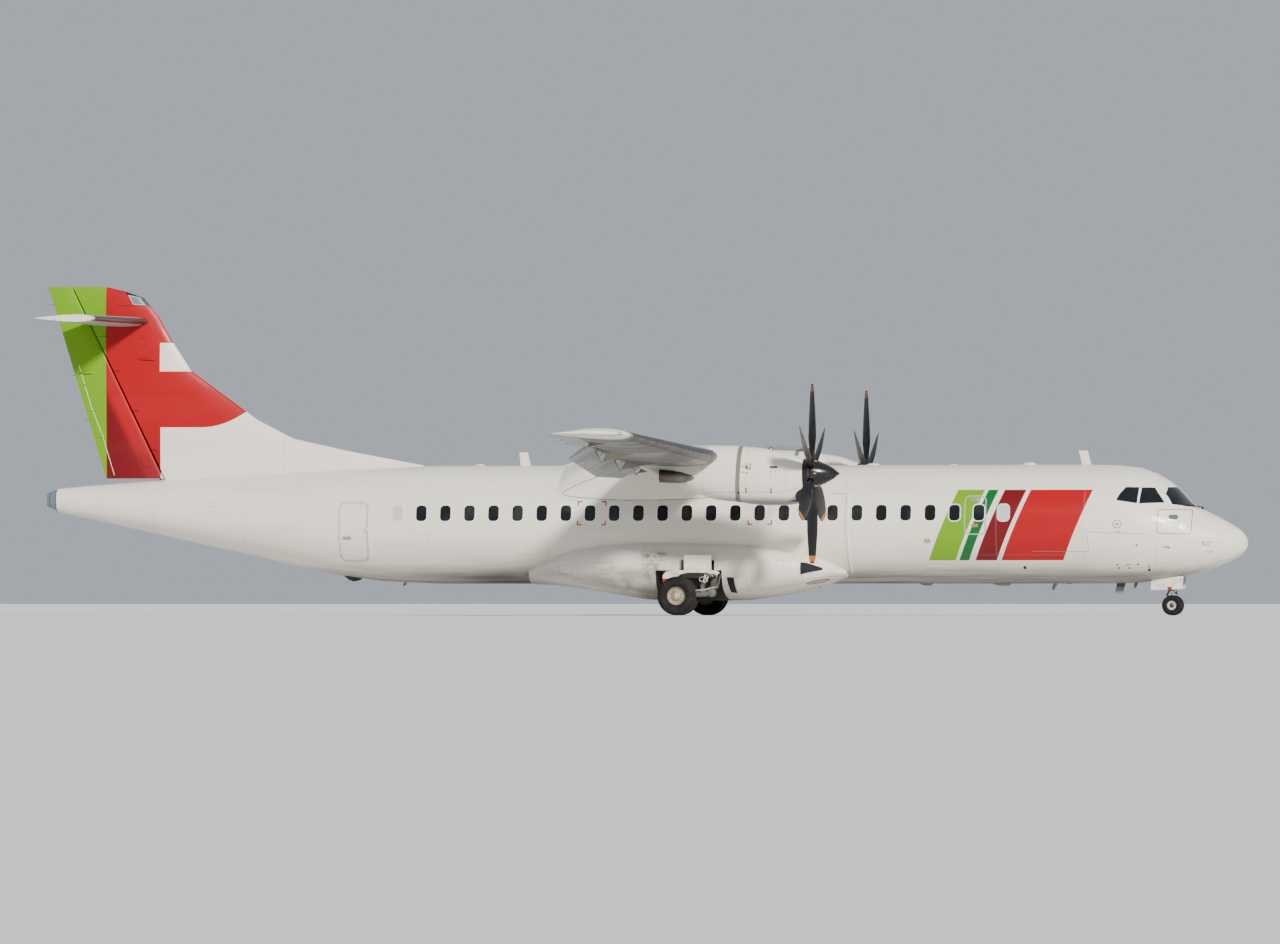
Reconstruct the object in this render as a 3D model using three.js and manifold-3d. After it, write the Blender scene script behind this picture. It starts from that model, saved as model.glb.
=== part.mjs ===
// Twin turboprop airliner with a high wing and a T tail, parked on its landing gear.
// Millimetres. +X is forward, +Y is to port, +Z is up, and the ground is z = 0.
import * as THREE from 'three'
import { mergeVertices } from 'three/addons/utils/BufferGeometryUtils.js'
import Module from 'manifold-3d'

const wasm = await Module()
wasm.setup()

// Driving dimensions of the whole aeroplane
const LENGTH = 27166
const SPAN = 27050
const NOSE_X = LENGTH / 2
const GAP = 0.4

// Fuselage: a round upper half over a flatter lower half
const CABIN_RADIUS = 1432.5
const WIDE_LEVEL = 1920
const ROOF = WIDE_LEVEL + CABIN_RADIUS
const BELLY = 700
const RING_POINTS = 28
const RADOME_JOINT_X = 12700
const NOSE_JOINT_X = 10100
const REAR_JOINT_X = -4600
const TAIL_CAP_JOINT_X = -13340

// Sections of the fuselage: station, half width, roof, belly and level of the widest point
const FUSELAGE_SECTIONS = [
  [NOSE_X, 70, 1665, 1520, 1590],
  [13480, 230, 1840, 1385, 1600],
  [13300, 410, 1965, 1260, 1610],
  [13060, 570, 2115, 1140, 1625],
  [RADOME_JOINT_X, 760, 2300, 990, 1660],
  [12380, 905, 2460, 890, 1700],
  [12220, 965, 2640, 865, 1730],
  [12060, 1025, 2815, 840, 1755],
  [11870, 1090, 2975, 812, 1785],
  [11600, 1170, 3140, 775, 1825],
  [11200, 1275, 3285, 725, 1870],
  [10700, 1375, 3340, 702, 1905],
  [NOSE_JOINT_X, CABIN_RADIUS, ROOF, BELLY, WIDE_LEVEL],
  [REAR_JOINT_X, CABIN_RADIUS, ROOF, BELLY, WIDE_LEVEL],
  [-5900, 1395, 3310, 760, 1925],
  [-7200, 1235, 3240, 950, 1960],
  [-8800, 990, 3155, 1330, 2060],
  [-11000, 640, 3035, 1815, 2350],
  [-12660, 340, 2910, 2180, 2540],
  [TAIL_CAP_JOINT_X, 215, 2845, 2330, 2590],
  [-NOSE_X, 120, 2740, 2450, 2600],
]

// Doors: centre station, sill, width, height, gap to the frame, and side (port is +1)
const DOOR_THICKNESS = 60
const DOOR_POCKET = 72
const DOOR_CORNER = 130
const PASSENGER_DOOR = { x: -6450, sill: 1200, width: 820, height: 1750, gap: 25, side: 1 }
const CARGO_DOOR = { x: 9190, sill: 1150, width: 1275, height: 1530, gap: 9, side: 1 }
const SERVICE_DOOR = { x: -6325, sill: 1230, width: 610, height: 1270, gap: 9, side: -1 }
const PASSENGER_HINGE = {
  point: [-6450, 976, 1188],
  axis: [-0.9792, -0.2028, 0],
  spots: [-280, 280],
  easing: [],
  trough: 130,
  foot: [20, -95, -45],
}
const CARGO_HINGE = { point: [9190, 1222, 2696], axis: [1, 0, 0], spots: [-400, 400], easing: [] }
const SERVICE_HINGE = {
  point: [-6004, -1390, 1925],
  axis: [0, 0, 1],
  spots: [0],
  easing: [2, 4, 6, 9],
  arm: { low: [-6046, -1397, 1900], high: [-6017, -1350, 1950] },
}
const KNUCKLE_RADIUS = 22
const KNUCKLE_ROOM = 28
const HINGE_PIN_RADIUS = 8

// Wing: a straight centre section between the engines and tapered outer panels
const CENTRE_HALF_SPAN = 4890
const TIP_RIB_Y = 13020
const ROOT_CHORD = 2570
const TIP_CHORD = 1590
const ROOT_NOSE_X = 2410
const TIP_NOSE_X = 1860
const ROOT_NOSE_Z = 3480
const TIP_NOSE_Z = 3860
const ROOT_INCIDENCE = THREE.MathUtils.degToRad(2)
const TIP_INCIDENCE = THREE.MathUtils.degToRad(-0.5)
const ROOT_THICKNESS = 0.18
const TIP_THICKNESS = 0.13
const WING_CAMBER = 0.018
const REAR_SPAR = 0.7
const SHROUD_END = 0.8
const SHROUD_DEPTH = 15
const FLAP_INNER_Y = 1570
const FLAP_OUTER_Y = 9590
const AILERON_INNER_Y = 9650
const AILERON_OUTER_Y = 12990
const FLAP_NOSE = 0.755
const FLAP_UNDER_SHROUD = 37
const AILERON_NOSE = 0.755
const FLAP_DROP = THREE.MathUtils.degToRad(30)
const FLAP_HINGE_DEPTH = 330
const TRACK_HALF_WIDTH = 125
const FAIRING_STATIONS = { inner: [3560], outer: [5880, 8590] }
const AILERON_FAIRING_Y = 11450

// Engines and propellers
const ENGINE_Y = 4050
const ENGINE_AXIS_Z = 2980
const ENGINE_RADIUS = 290
const ENGINE_REAR_X = 2240
const ENGINE_FRONT_X = 4190
const PROPELLER_X = 4449
const PROPELLER_Z = 3112
const PROPELLER_RADIUS = 1965
const BLADE_COUNT = 6
const SPINNER_BASE_X = 4290
const SPINNER_RADIUS = 330
const SHAFT_RADIUS = 80

// Tail: the fin rakes back, the tailplane passes through it just under the tip
const FIN_TOP = 7390
const RUDDER_HINGE = { x: -10950, z: 3000, rake: -0.4818 }
const RUDDER_TRAILING = { x: -12210, z: 3000, rake: -0.307 }
const TAILPLANE_Z = 6600
const TAILPLANE_HALF_SPAN = 3655
const TAILPLANE_THICKNESS = 0.12

// Landing gear
const TRACK = 4100
const MAIN_AXLE_X = 1148
const MAIN_WHEEL_RADIUS = 432
const MAIN_TYRE_WIDTH = 254
const MAIN_RIM_RADIUS = 206
const MAIN_TWIN_SPACING = 430
const NOSE_AXLE_X = 11913
const NOSE_WHEEL_RADIUS = 225
const NOSE_TYRE_WIDTH = 180
const NOSE_RIM_RADIUS = 105
const NOSE_TWIN_SPACING = 350
const GEAR_LEG_X = 1900

// Paint, metal, glass and rubber
const paint = (color, roughness = 0.35) =>
  new THREE.MeshStandardMaterial({ color, roughness, metalness: 0 })
const metal = (color, roughness = 0.4) =>
  new THREE.MeshStandardMaterial({ color, roughness, metalness: 0.9 })
const finish = {
  white: paint(0xe9e4da),
  grey: paint(0x8d9092),
  red: paint(0xc8141c),
  green: paint(0x2f9e2a),
  black: paint(0x121212, 0.4),
  glass: new THREE.MeshStandardMaterial({ color: 0x10161b, roughness: 0.08, metalness: 0 }),
  steel: metal(0x8a8c8f),
  castMetal: metal(0x6f6f70, 0.55),
  gear: paint(0xb9bab8, 0.45),
  rubber: paint(0x1b1b1c, 0.85),
}

const aeroplane = new THREE.Group()

// Small tools for closed meshes
const position = (points) => {
  const geometry = new THREE.BufferGeometry()
  geometry.setAttribute('position', new THREE.Float32BufferAttribute(points, 3))
  return geometry
}

const signedVolume = (geometry) => {
  const corner = [new THREE.Vector3(), new THREE.Vector3(), new THREE.Vector3()]
  const { position: places } = geometry.attributes
  let total = 0
  for (let i = 0; i < geometry.index.count; i += 3) {
    corner.forEach((point, k) => point.fromBufferAttribute(places, geometry.index.getX(i + k)))
    total += corner[0].dot(corner[1].cross(corner[2]))
  }
  return total / 6
}

const turnedOutward = (geometry) => {
  if (signedVolume(geometry) > 0) return geometry
  const order = geometry.index.array
  for (let i = 0; i < order.length; i += 3) [order[i], order[i + 1]] = [order[i + 1], order[i]]
  return geometry
}

const solidOf = (geometry, matrix) => {
  const bare = geometry.clone()
  bare.deleteAttribute('normal')
  bare.deleteAttribute('uv')
  if (matrix) bare.applyMatrix4(matrix)
  const merged = turnedOutward(mergeVertices(bare, 1e-3))
  return new wasm.Manifold(new wasm.Mesh({
    numProp: 3,
    vertProperties: new Float32Array(merged.attributes.position.array),
    triVerts: new Uint32Array(merged.index.array),
  }))
}

const geometryOf = (solid) => {
  const { vertProperties, triVerts } = solid.getMesh()
  const geometry = position(vertProperties)
  geometry.setIndex([...triVerts])
  return geometry
}

const joined = (solids) => solids.reduce((whole, solid) => whole.add(solid))

const add = (name, solid, material) => {
  const mesh = new THREE.Mesh(geometryOf(solid), material)
  mesh.name = name
  aeroplane.add(mesh)
}

const mirrored = (solid) =>
  solidOf(geometryOf(solid), new THREE.Matrix4().makeScale(1, -1, 1))

const placedAt = (x, y, z) => new THREE.Matrix4().makeTranslation(x, y, z)

const turnedAbout = (point, axis, angle) => {
  const [x, y, z] = point
  const turn = new THREE.Matrix4().makeRotationAxis(new THREE.Vector3(...axis).normalize(), angle)
  return placedAt(x, y, z).multiply(turn).multiply(placedAt(-x, -y, -z))
}

// A closed skin over a row of rings with equally many points, and flat ends
const loft = (rings) => {
  const count = rings[0].length
  const points = rings.flat().flatMap((point) => [...point])
  const faces = []
  for (let ring = 0; ring + 1 < rings.length; ring += 1) {
    for (let i = 0; i < count; i += 1) {
      const a = ring * count + i
      const b = ring * count + (i + 1) % count
      faces.push(a, b, b + count, a, b + count, a + count)
    }
  }
  const lid = (ring, start, facing) => {
    for (const corners of THREE.ShapeUtils.triangulateShape(flattened(ring), [])) {
      const [a, b, c] = corners.toSorted((one, other) => one - other)
      faces.push(start + a, start + (facing > 0 ? b : c), start + (facing > 0 ? c : b))
    }
  }
  lid(rings[0], 0, -1)
  lid(rings.at(-1), count * (rings.length - 1), 1)
  const geometry = position(points)
  geometry.setIndex(faces)
  return solidOf(geometry)
}

// Drops the direction that a ring faces most, for the triangles of a flat end
const flattened = (ring) => {
  const facing = new THREE.Vector3()
  ring.forEach((point, i) => facing.add(point.clone().cross(ring[(i + 1) % ring.length])))
  const most = Math.max(Math.abs(facing.x), Math.abs(facing.y), Math.abs(facing.z))
  if (most === Math.abs(facing.x)) return ring.map((point) => new THREE.Vector2(point.y, point.z))
  if (most === Math.abs(facing.y)) return ring.map((point) => new THREE.Vector2(point.z, point.x))
  return ring.map((point) => new THREE.Vector2(point.x, point.y))
}

const block = (low, high) => {
  const size = high.map((value, i) => value - low[i])
  const middle = high.map((value, i) => (value + low[i]) / 2)
  return solidOf(new THREE.BoxGeometry(...size), placedAt(...middle))
}

// A round bar from one point to another, with a second radius at its far end
const rod = (from, to, radius, farRadius = radius, sides = 12) => {
  const start = new THREE.Vector3(...from)
  const reach = new THREE.Vector3(...to).sub(start)
  const bar = new THREE.CylinderGeometry(farRadius, radius, reach.length(), sides)
  bar.translate(0, reach.length() / 2, 0)
  const turn = new THREE.Quaternion().setFromUnitVectors(
    new THREE.Vector3(0, 1, 0), reach.clone().normalize())
  bar.applyQuaternion(turn)
  bar.translate(...from)
  return solidOf(bar)
}

// A profile of (radius, distance) turned about an axis that runs from a point along +X or +Y
const turned = (profile, centre, along, sides) => {
  const outline = profile.map(([radius, distance]) => new THREE.Vector2(radius, distance))
  const lathe = new THREE.LatheGeometry(outline, sides)
  if (along === 'x') lathe.rotateZ(-Math.PI / 2)
  lathe.translate(...centre)
  return solidOf(lathe)
}

// A plate drawn in side view, as points of (x, z), between two distances y
const sidePlate = (outline, near, far) => {
  const shape = new THREE.Shape(outline.map(([x, z]) => new THREE.Vector2(x, z)))
  const plate = new THREE.ExtrudeGeometry(shape, { depth: far - near, bevelEnabled: false })
  plate.rotateX(Math.PI / 2)
  plate.translate(0, far, 0)
  return solidOf(plate)
}

// Fuselage
const ovalRing = (x, halfWidth, top, bottom, level, power = 2, count = RING_POINTS) => {
  const bend = (value) => Math.sign(value) * Math.abs(value) ** (2 / power)
  return Array.from({ length: count }, (_, i) => {
    const angle = (2 * Math.PI * (i + 0.5)) / count
    const rise = bend(Math.sin(angle))
    const height = rise > 0 ? top - level : level - bottom
    return new THREE.Vector3(x, halfWidth * bend(Math.cos(angle)), level + height * rise)
  })
}

const fuselageBetween = (front, rear, inset = 0) => {
  const chosen = FUSELAGE_SECTIONS.filter(([x]) => x <= front && x >= rear)
  return loft(chosen.map(([x, halfWidth, roof, belly, level]) =>
    ovalRing(x, halfWidth - inset, roof - inset, belly + inset, level)))
}

const roundedDoorway = ({ x, sill, width, height, side }, margin) => {
  const left = x - width / 2 - margin
  const right = x + width / 2 + margin
  const low = sill - margin
  const high = sill + height + margin
  const corner = DOOR_CORNER + margin
  const shape = new THREE.Shape()
  shape.moveTo(left + corner, low)
  shape.lineTo(right - corner, low)
  shape.absarc(right - corner, low + corner, corner, -Math.PI / 2, 0)
  shape.lineTo(right, high - corner)
  shape.absarc(right - corner, high - corner, corner, 0, Math.PI / 2)
  shape.lineTo(left + corner, high)
  shape.absarc(left + corner, high - corner, corner, Math.PI / 2, Math.PI)
  shape.lineTo(left, low + corner)
  shape.absarc(left + corner, low + corner, corner, Math.PI, Math.PI * 1.5)
  const reach = 1700
  const prism = new THREE.ExtrudeGeometry(shape, { depth: reach, bevelEnabled: false, curveSegments: 3 })
  prism.rotateX(Math.PI / 2)
  prism.translate(0, side > 0 ? reach : 0, 0)
  return solidOf(prism)
}

// Knuckles of a door hinge: the middle one rides on the door, the outer two hold the pin
const knucklesOf = ({ point, axis, spots, arm, foot }) => {
  const base = new THREE.Vector3(...point)
  const along = new THREE.Vector3(...axis).normalize()
  const bar = (spot, from, to, radius, sides = 10) => rod(
    [...base.clone().addScaledVector(along, spot + from)],
    [...base.clone().addScaledVector(along, spot + to)], radius, radius, sides)
  const fixed = []
  const moving = []
  const fixedRoom = []
  const movingRoom = []
  for (const spot of spots) {
    fixed.push(bar(spot, -56, -26, KNUCKLE_RADIUS), bar(spot, 26, 56, KNUCKLE_RADIUS),
      bar(spot, -50, 50, HINGE_PIN_RADIUS, 8))
    moving.push(bar(spot, -25, 25, KNUCKLE_RADIUS).subtract(
      bar(spot, -26, 26, HINGE_PIN_RADIUS + 0.8, 16)))
    fixedRoom.push(bar(spot, -61, -21, KNUCKLE_ROOM), bar(spot, 21, 61, KNUCKLE_ROOM))
    movingRoom.push(bar(spot, -30, 30, KNUCKLE_ROOM))
  }
  const footed = foot ? spots.flatMap((spot) => [spot - 41, spot + 41]) : []
  for (const place of footed) {
    const top = base.clone().addScaledVector(along, place)
    fixed.push(rod([...top], [...top.clone().add(new THREE.Vector3(...foot))], 14, 14, 8))
  }
  if (arm) moving.push(block(arm.low, arm.high).subtract(bar(0, -30, 30, HINGE_PIN_RADIUS + 2)))
  return [fixed, moving, fixedRoom, movingRoom].map(joined)
}

// Room behind the sill for the inner edge of a door that folds down
const sillTrough = (door, { point, axis, trough }) => {
  const reach = new THREE.Vector3(...axis).normalize().multiplyScalar(door.width * 0.6)
  const middle = new THREE.Vector3(...point)
  const round = rod([...middle.clone().sub(reach)], [...middle.clone().add(reach)], trough, trough, 16)
  return round.intersect(roundedDoorway(door, door.gap))
}

// A door is cut from the skin, and its edges are eased where the frame meets its swing
const doorIn = (skin, core, pocketCore, door, hinge, name) => {
  const pocket = roundedDoorway(door, door.gap).subtract(pocketCore)
  const closeFrame = skin.subtract(roundedDoorway(door, 1))
  const frame = geometryOf(closeFrame.intersect(block(
    [door.x - door.width, Math.min(0, door.side * 1700), door.sill - 400],
    [door.x + door.width, Math.max(0, door.side * 1700), door.sill + door.height + 400])))
  let leaf = roundedDoorway(door, 0).intersect(skin).subtract(core)
  for (const degrees of hinge.easing) {
    const back = -THREE.MathUtils.degToRad(degrees)
    leaf = leaf.subtract(solidOf(frame, turnedAbout(hinge.point, hinge.axis, back)))
  }
  const [fixed, moving, fixedRoom, movingRoom] = knucklesOf(hinge)
  add(name, leaf.subtract(fixedRoom).add(moving), finish.white)
  const opened = skin.subtract(pocket).subtract(movingRoom)
  return hinge.trough ? opened.subtract(sillTrough(door, hinge)).add(fixed) : opened.add(fixed)
}

// Wing, tailplane and fin sections
const wingStation = (y) => {
  const out = Math.max(0, (Math.abs(y) - CENTRE_HALF_SPAN) / (SPAN / 2 - CENTRE_HALF_SPAN))
  const mix = (root, tip) => THREE.MathUtils.lerp(root, tip, out)
  return {
    y,
    x: mix(ROOT_NOSE_X, TIP_NOSE_X),
    z: mix(ROOT_NOSE_Z, TIP_NOSE_Z),
    chord: mix(ROOT_CHORD, TIP_CHORD),
    incidence: mix(ROOT_INCIDENCE, TIP_INCIDENCE),
    thickness: mix(ROOT_THICKNESS, TIP_THICKNESS),
    camber: WING_CAMBER,
  }
}

const tailplaneStation = (y) => {
  const out = Math.abs(y) / TAILPLANE_HALF_SPAN
  return {
    y,
    x: THREE.MathUtils.lerp(-11250, -11750, out),
    z: TAILPLANE_Z,
    chord: THREE.MathUtils.lerp(1930, 1340, out),
    incidence: 0,
    thickness: TAILPLANE_THICKNESS,
    camber: 0,
  }
}

const halfThickness = (thickness, along) => 5 * thickness * (0.2969 * Math.sqrt(along)
  - 0.126 * along - 0.3516 * along ** 2 + 0.2843 * along ** 3 - 0.1036 * along ** 4)

// Place of a point of the section: along is a share of the chord, up is in millimetres
const onSection = (station, along, up = 0) => {
  const { chord, incidence, camber } = station
  const rise = up + chord * 4 * camber * along * (1 - along)
  const back = along * chord
  return new THREE.Vector3(
    station.x - back * Math.cos(incidence) + rise * Math.sin(incidence),
    station.y,
    station.z - back * Math.sin(incidence) + rise * Math.cos(incidence))
}

const SECTION_STEPS = [0.012, 0.05, 0.13, 0.28, 0.5]
const aerofoilRing = (station, end = REAR_SPAR, grown = 0) => {
  const along = [...SECTION_STEPS, end]
  const half = (share) => station.chord * halfThickness(station.thickness, share) + grown
  const shift = grown / station.chord
  const stretch = (share) => (share === end ? share + shift : share)
  const upper = along.map((share) => onSection(station, stretch(share), half(share)))
  const lower = along.map((share) => onSection(station, stretch(share), -half(share)))
  return [onSection(station, -shift), ...upper, ...lower.reverse()]
}

// A hinged surface: a half-round nose about its own axis, and straight sides to the trailing edge
const NOSE_ARC_STEPS = 5
const surfaceRing = (hinge, trailing, radius, sideways, edge = 5) => {
  const back = trailing.clone().sub(hinge).normalize()
  const side = new THREE.Vector3(...sideways)
  const at = (centre, along, across) =>
    centre.clone().addScaledVector(back, along).addScaledVector(side, across)
  const nose = Array.from({ length: NOSE_ARC_STEPS + 1 }, (_, i) => {
    const angle = (Math.PI * i) / NOSE_ARC_STEPS
    return at(hinge, -radius * Math.sin(angle), radius * Math.cos(angle))
  })
  return [...nose, at(trailing, 0, -edge), at(trailing, 0, edge)]
}

const surfaceOnStation = (station, noseShare, thinner = 3) => surfaceRing(
  onSection(station, noseShare),
  onSection(station, 1),
  station.chord * halfThickness(station.thickness, noseShare) - thinner,
  [0, 0, 1], 3)

// The flapped part of the wing ends in a thin shroud over the nose of the flap
const shroudedRing = (station) => {
  const half = (share) => station.chord * halfThickness(station.thickness, share)
  const ring = aerofoilRing(station)
  const upperEnd = SECTION_STEPS.length + 2
  ring.splice(upperEnd, 0,
    onSection(station, SHROUD_END, half(SHROUD_END)),
    onSection(station, SHROUD_END, half(SHROUD_END) - SHROUD_DEPTH),
    onSection(station, REAR_SPAR, half(REAR_SPAR) - SHROUD_DEPTH))
  return ring
}

// Flaps turn about a line below the wing, which the track fairings reach
const flapPivot = (y) => onSection(wingStation(y), FLAP_NOSE, -FLAP_HINGE_DEPTH)

const flapTurn = (innerY, outerY, angle) => {
  const inner = flapPivot(innerY)
  const axis = flapPivot(outerY).sub(inner)
  return turnedAbout([...inner], [...axis], -angle)
}

// A bar along the hinge line of a flap, between two distances from the track at station y
const FLAP_PANELS = {
  inner: [FLAP_INNER_Y, CENTRE_HALF_SPAN - 40],
  outer: [CENTRE_HALF_SPAN + 40, FLAP_OUTER_Y],
}
const flapBar = (panel, y, from, to, radius, sides = 10) => {
  const [innerY, outerY] = FLAP_PANELS[panel]
  const inner = flapPivot(innerY)
  const outer = flapPivot(outerY)
  const at = (station) => inner.clone().lerp(outer, (station - innerY) / (outerY - innerY))
  return rod([...at(y + from)], [...at(y + to)], radius, radius, sides)
}

const fairingHalf = (y, shares, width, depth, seat = 25) => {
  const station = wingStation(y)
  const under = (share) => Math.min(-2, seat - station.chord * halfThickness(station.thickness, share))
  const [tip, wide, apex] = shares
  const points = [
    onSection(station, tip, under(tip)),
    onSection(station, wide, under(wide)).add(new THREE.Vector3(0, width, 0)),
    onSection(station, wide, under(wide)).add(new THREE.Vector3(0, -width, 0)),
    onSection(station, apex, -depth).add(new THREE.Vector3(0, -18, 0)),
    onSection(station, apex, -depth).add(new THREE.Vector3(0, 18, 0)),
  ]
  const geometry = position(points.flatMap((point) => [...point]))
  geometry.setIndex([0, 1, 2, 1, 4, 3, 1, 3, 2, 0, 4, 1, 0, 3, 4, 0, 2, 3])
  return solidOf(geometry)
}

const wingSolid = (stations, grown = 0) =>
  loft(stations.map((y) => aerofoilRing(wingStation(y), REAR_SPAR, grown)))

const shroudedWing = (stations) => loft(stations.map((y) => shroudedRing(wingStation(y))))

const FLAP_PIN_RADIUS = 11
const FLAP_LUG_RADIUS = 26
const FLAP_LUG_ROOM = 31
const makeFlap = (panel) => {
  const [innerY, outerY] = FLAP_PANELS[panel]
  const surface = loft([innerY, outerY].map((y) =>
    surfaceOnStation(wingStation(y), FLAP_NOSE, FLAP_UNDER_SHROUD)))
  const shares = [0.985, 0.752, FLAP_NOSE + 0.006]
  const tracks = FAIRING_STATIONS[panel].map((y) =>
    fairingHalf(y, shares, TRACK_HALF_WIDTH, FLAP_HINGE_DEPTH - 12, 48)
      .subtract(flapBar(panel, y, -1, 25, FLAP_LUG_ROOM))
      .add(flapBar(panel, y, -20, 0, FLAP_LUG_RADIUS))
      .subtract(flapBar(panel, y, -21, 1, FLAP_PIN_RADIUS + 0.8, 16)))
  const whole = geometryOf(joined([surface, ...tracks]))
  const left = solidOf(whole, flapTurn(innerY, outerY, FLAP_DROP))
  add(`flap_${panel}_left`, left, finish.grey)
  add(`flap_${panel}_right`, mirrored(left), finish.grey)
}

// The wing's half of each flap track, with the lug and the pin that the flap hangs on
const trackHalves = (panel) => FAIRING_STATIONS[panel].map((y) => {
  const root = onSection(wingStation(y), 0.717, -282).add(new THREE.Vector3(0, 11, 0))
  const pivot = flapPivot(y).add(new THREE.Vector3(0, 11, 0))
  const shares = [0.36, 0.69, FLAP_NOSE - 0.014]
  return joined([
    fairingHalf(y, shares, TRACK_HALF_WIDTH, FLAP_HINGE_DEPTH - 12)
      .subtract(flapBar(panel, y, -25, 1, FLAP_LUG_ROOM)),
    rod([...root], [...pivot], 9),
    flapBar(panel, y, 2, 20, FLAP_LUG_RADIUS),
    flapBar(panel, y, -19, 10, FLAP_PIN_RADIUS, 8),
  ])
})

// The ailerons turn on a pin that goes into the wing tip
const AILERON_PIN_RADIUS = 14
const aileronBar = (from, to, radius, sides = 10) => {
  const inner = onSection(wingStation(AILERON_INNER_Y), AILERON_NOSE)
  const outer = onSection(wingStation(AILERON_OUTER_Y), AILERON_NOSE)
  const at = (y) => inner.clone().lerp(outer, (y - AILERON_INNER_Y) / (AILERON_OUTER_Y - AILERON_INNER_Y))
  return rod([...at(from)], [...at(to)], radius, radius, sides)
}

const makeWing = () => {
  const portTracks = trackHalves('inner')
  const centreTracks = [...portTracks, ...portTracks.map(mirrored)]
  const box = wingSolid([GAP - CENTRE_HALF_SPAN, CENTRE_HALF_SPAN - GAP])
  const shrouds = [[-CENTRE_HALF_SPAN + GAP, -FLAP_INNER_Y], [FLAP_INNER_Y, CENTRE_HALF_SPAN - GAP]]
  const centre = joined([box, ...shrouds.map(shroudedWing), ...centreTracks])
  add('wing_centre', centre, finish.grey)

  const tipRings = [[TIP_RIB_Y, 1, 1], [13380, 1, 0.9], [SPAN / 2, 0.9, 0.35]]
  const tip = loft(tipRings.map(([y, chord, thickness]) => {
    const station = wingStation(y)
    station.x -= station.chord * (1 - chord) * 0.6
    station.chord *= chord
    station.thickness *= thickness
    return aerofoilRing(station, 0.995)
  }))
  const smallTrack = fairingHalf(AILERON_FAIRING_Y, [0.42, 0.66, 0.69], 70, 190)
  const outer = joined([wingSolid([CENTRE_HALF_SPAN, TIP_RIB_Y + 1]),
    shroudedWing([CENTRE_HALF_SPAN, FLAP_OUTER_Y + 30]), tip, smallTrack,
    ...trackHalves('outer')]).subtract(aileronBar(TIP_RIB_Y - 5, 13068, AILERON_PIN_RADIUS + 0.8, 20))
  add('wing_outer_left', outer, finish.grey)
  add('wing_outer_right', mirrored(outer), finish.grey)

  Object.keys(FLAP_PANELS).forEach(makeFlap)
  const aileron = loft([AILERON_INNER_Y, AILERON_OUTER_Y].map((y) =>
    surfaceOnStation(wingStation(y), AILERON_NOSE)))
    .add(aileronBar(AILERON_OUTER_Y - 20, 13060, AILERON_PIN_RADIUS))
  add('aileron_left', aileron, finish.grey)
  add('aileron_right', mirrored(aileron), finish.grey)
}

// Wing to body fairing: swells from the cabin skin to this outline, as half width and level
const FAIRING_OUTLINE = [
  [1281, 2560], [1345, 2800], [1430, 3050], [1500, 3300],
  [1490, 3520], [1390, 3660], [1100, 3740], [600, 3780],
]
// Station and share of the full swell
const FAIRING_SWELL = [
  [3900, -0.03], [3350, 0.42], [2700, 0.85], [2050, 1], [250, 1], [-650, 0.72], [-1750, -0.03],
]
const makeWingFairing = (cabin) => {
  const outline = [...FAIRING_OUTLINE, [0, 3790],
    ...FAIRING_OUTLINE.toReversed().map(([y, z]) => [-y, z])]
  const rings = FAIRING_SWELL.map(([x, swell]) => outline.map(([y, z]) => {
    const reach = Math.hypot(y, z - WIDE_LEVEL)
    const scale = THREE.MathUtils.lerp(CABIN_RADIUS / reach, 1, swell)
    return new THREE.Vector3(x, y * scale, WIDE_LEVEL + (z - WIDE_LEVEL) * scale)
  }))
  const wing = wingSolid([-2200, 2200], GAP)
  add('wing_fairing', loft(rings).subtract(cabin).subtract(wing), finish.white)
}

// Main gear sponsons: station, half width, top and bottom
const SPONSON_SECTIONS = [
  [4750, 1060, 1010, 840],
  [4400, 1330, 1240, 735],
  [3900, 1560, 1430, 600],
  [3200, 1740, 1600, 450],
  [2400, 1830, 1700, 340],
  [1200, 1850, 1750, 310],
  [200, 1840, 1750, 350],
  [-700, 1700, 1690, 495],
  [-1400, 1500, 1580, 610],
  [-2000, 1250, 1350, 670],
  [-2400, 1000, 1100, 690],
]
// The bay is open to the side below the fender, and above it only behind the small leg door
const WHEEL_WELL = { low: [600, 640, 200], high: [2080, 2100, 1000] }
const WELL_ROOF = { low: [600, 640, 990], high: [2080, 1640, 1320] }
const DOOR_SLOT = { low: [1180, 1630, 990], high: [1912, 2100, 1225] }
const makeSponsons = (cabin) => {
  const rings = SPONSON_SECTIONS.map(([x, halfWidth, top, bottom]) =>
    ovalRing(x, halfWidth, top, bottom, (top + bottom) / 2 + 40, 2.7, 24))
  const whole = loft(rings).subtract(cabin)
  const port = whole.intersect(block([-3000, 0.2, 0], [5000, 2200, 2200]))
  const left = [WHEEL_WELL, WELL_ROOF, DOOR_SLOT].reduce(
    (shell, { low, high }) => shell.subtract(block(low, high)), port)
  add('sponson_left', left, finish.white)
  add('sponson_right', mirrored(left), finish.white)
}

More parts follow.
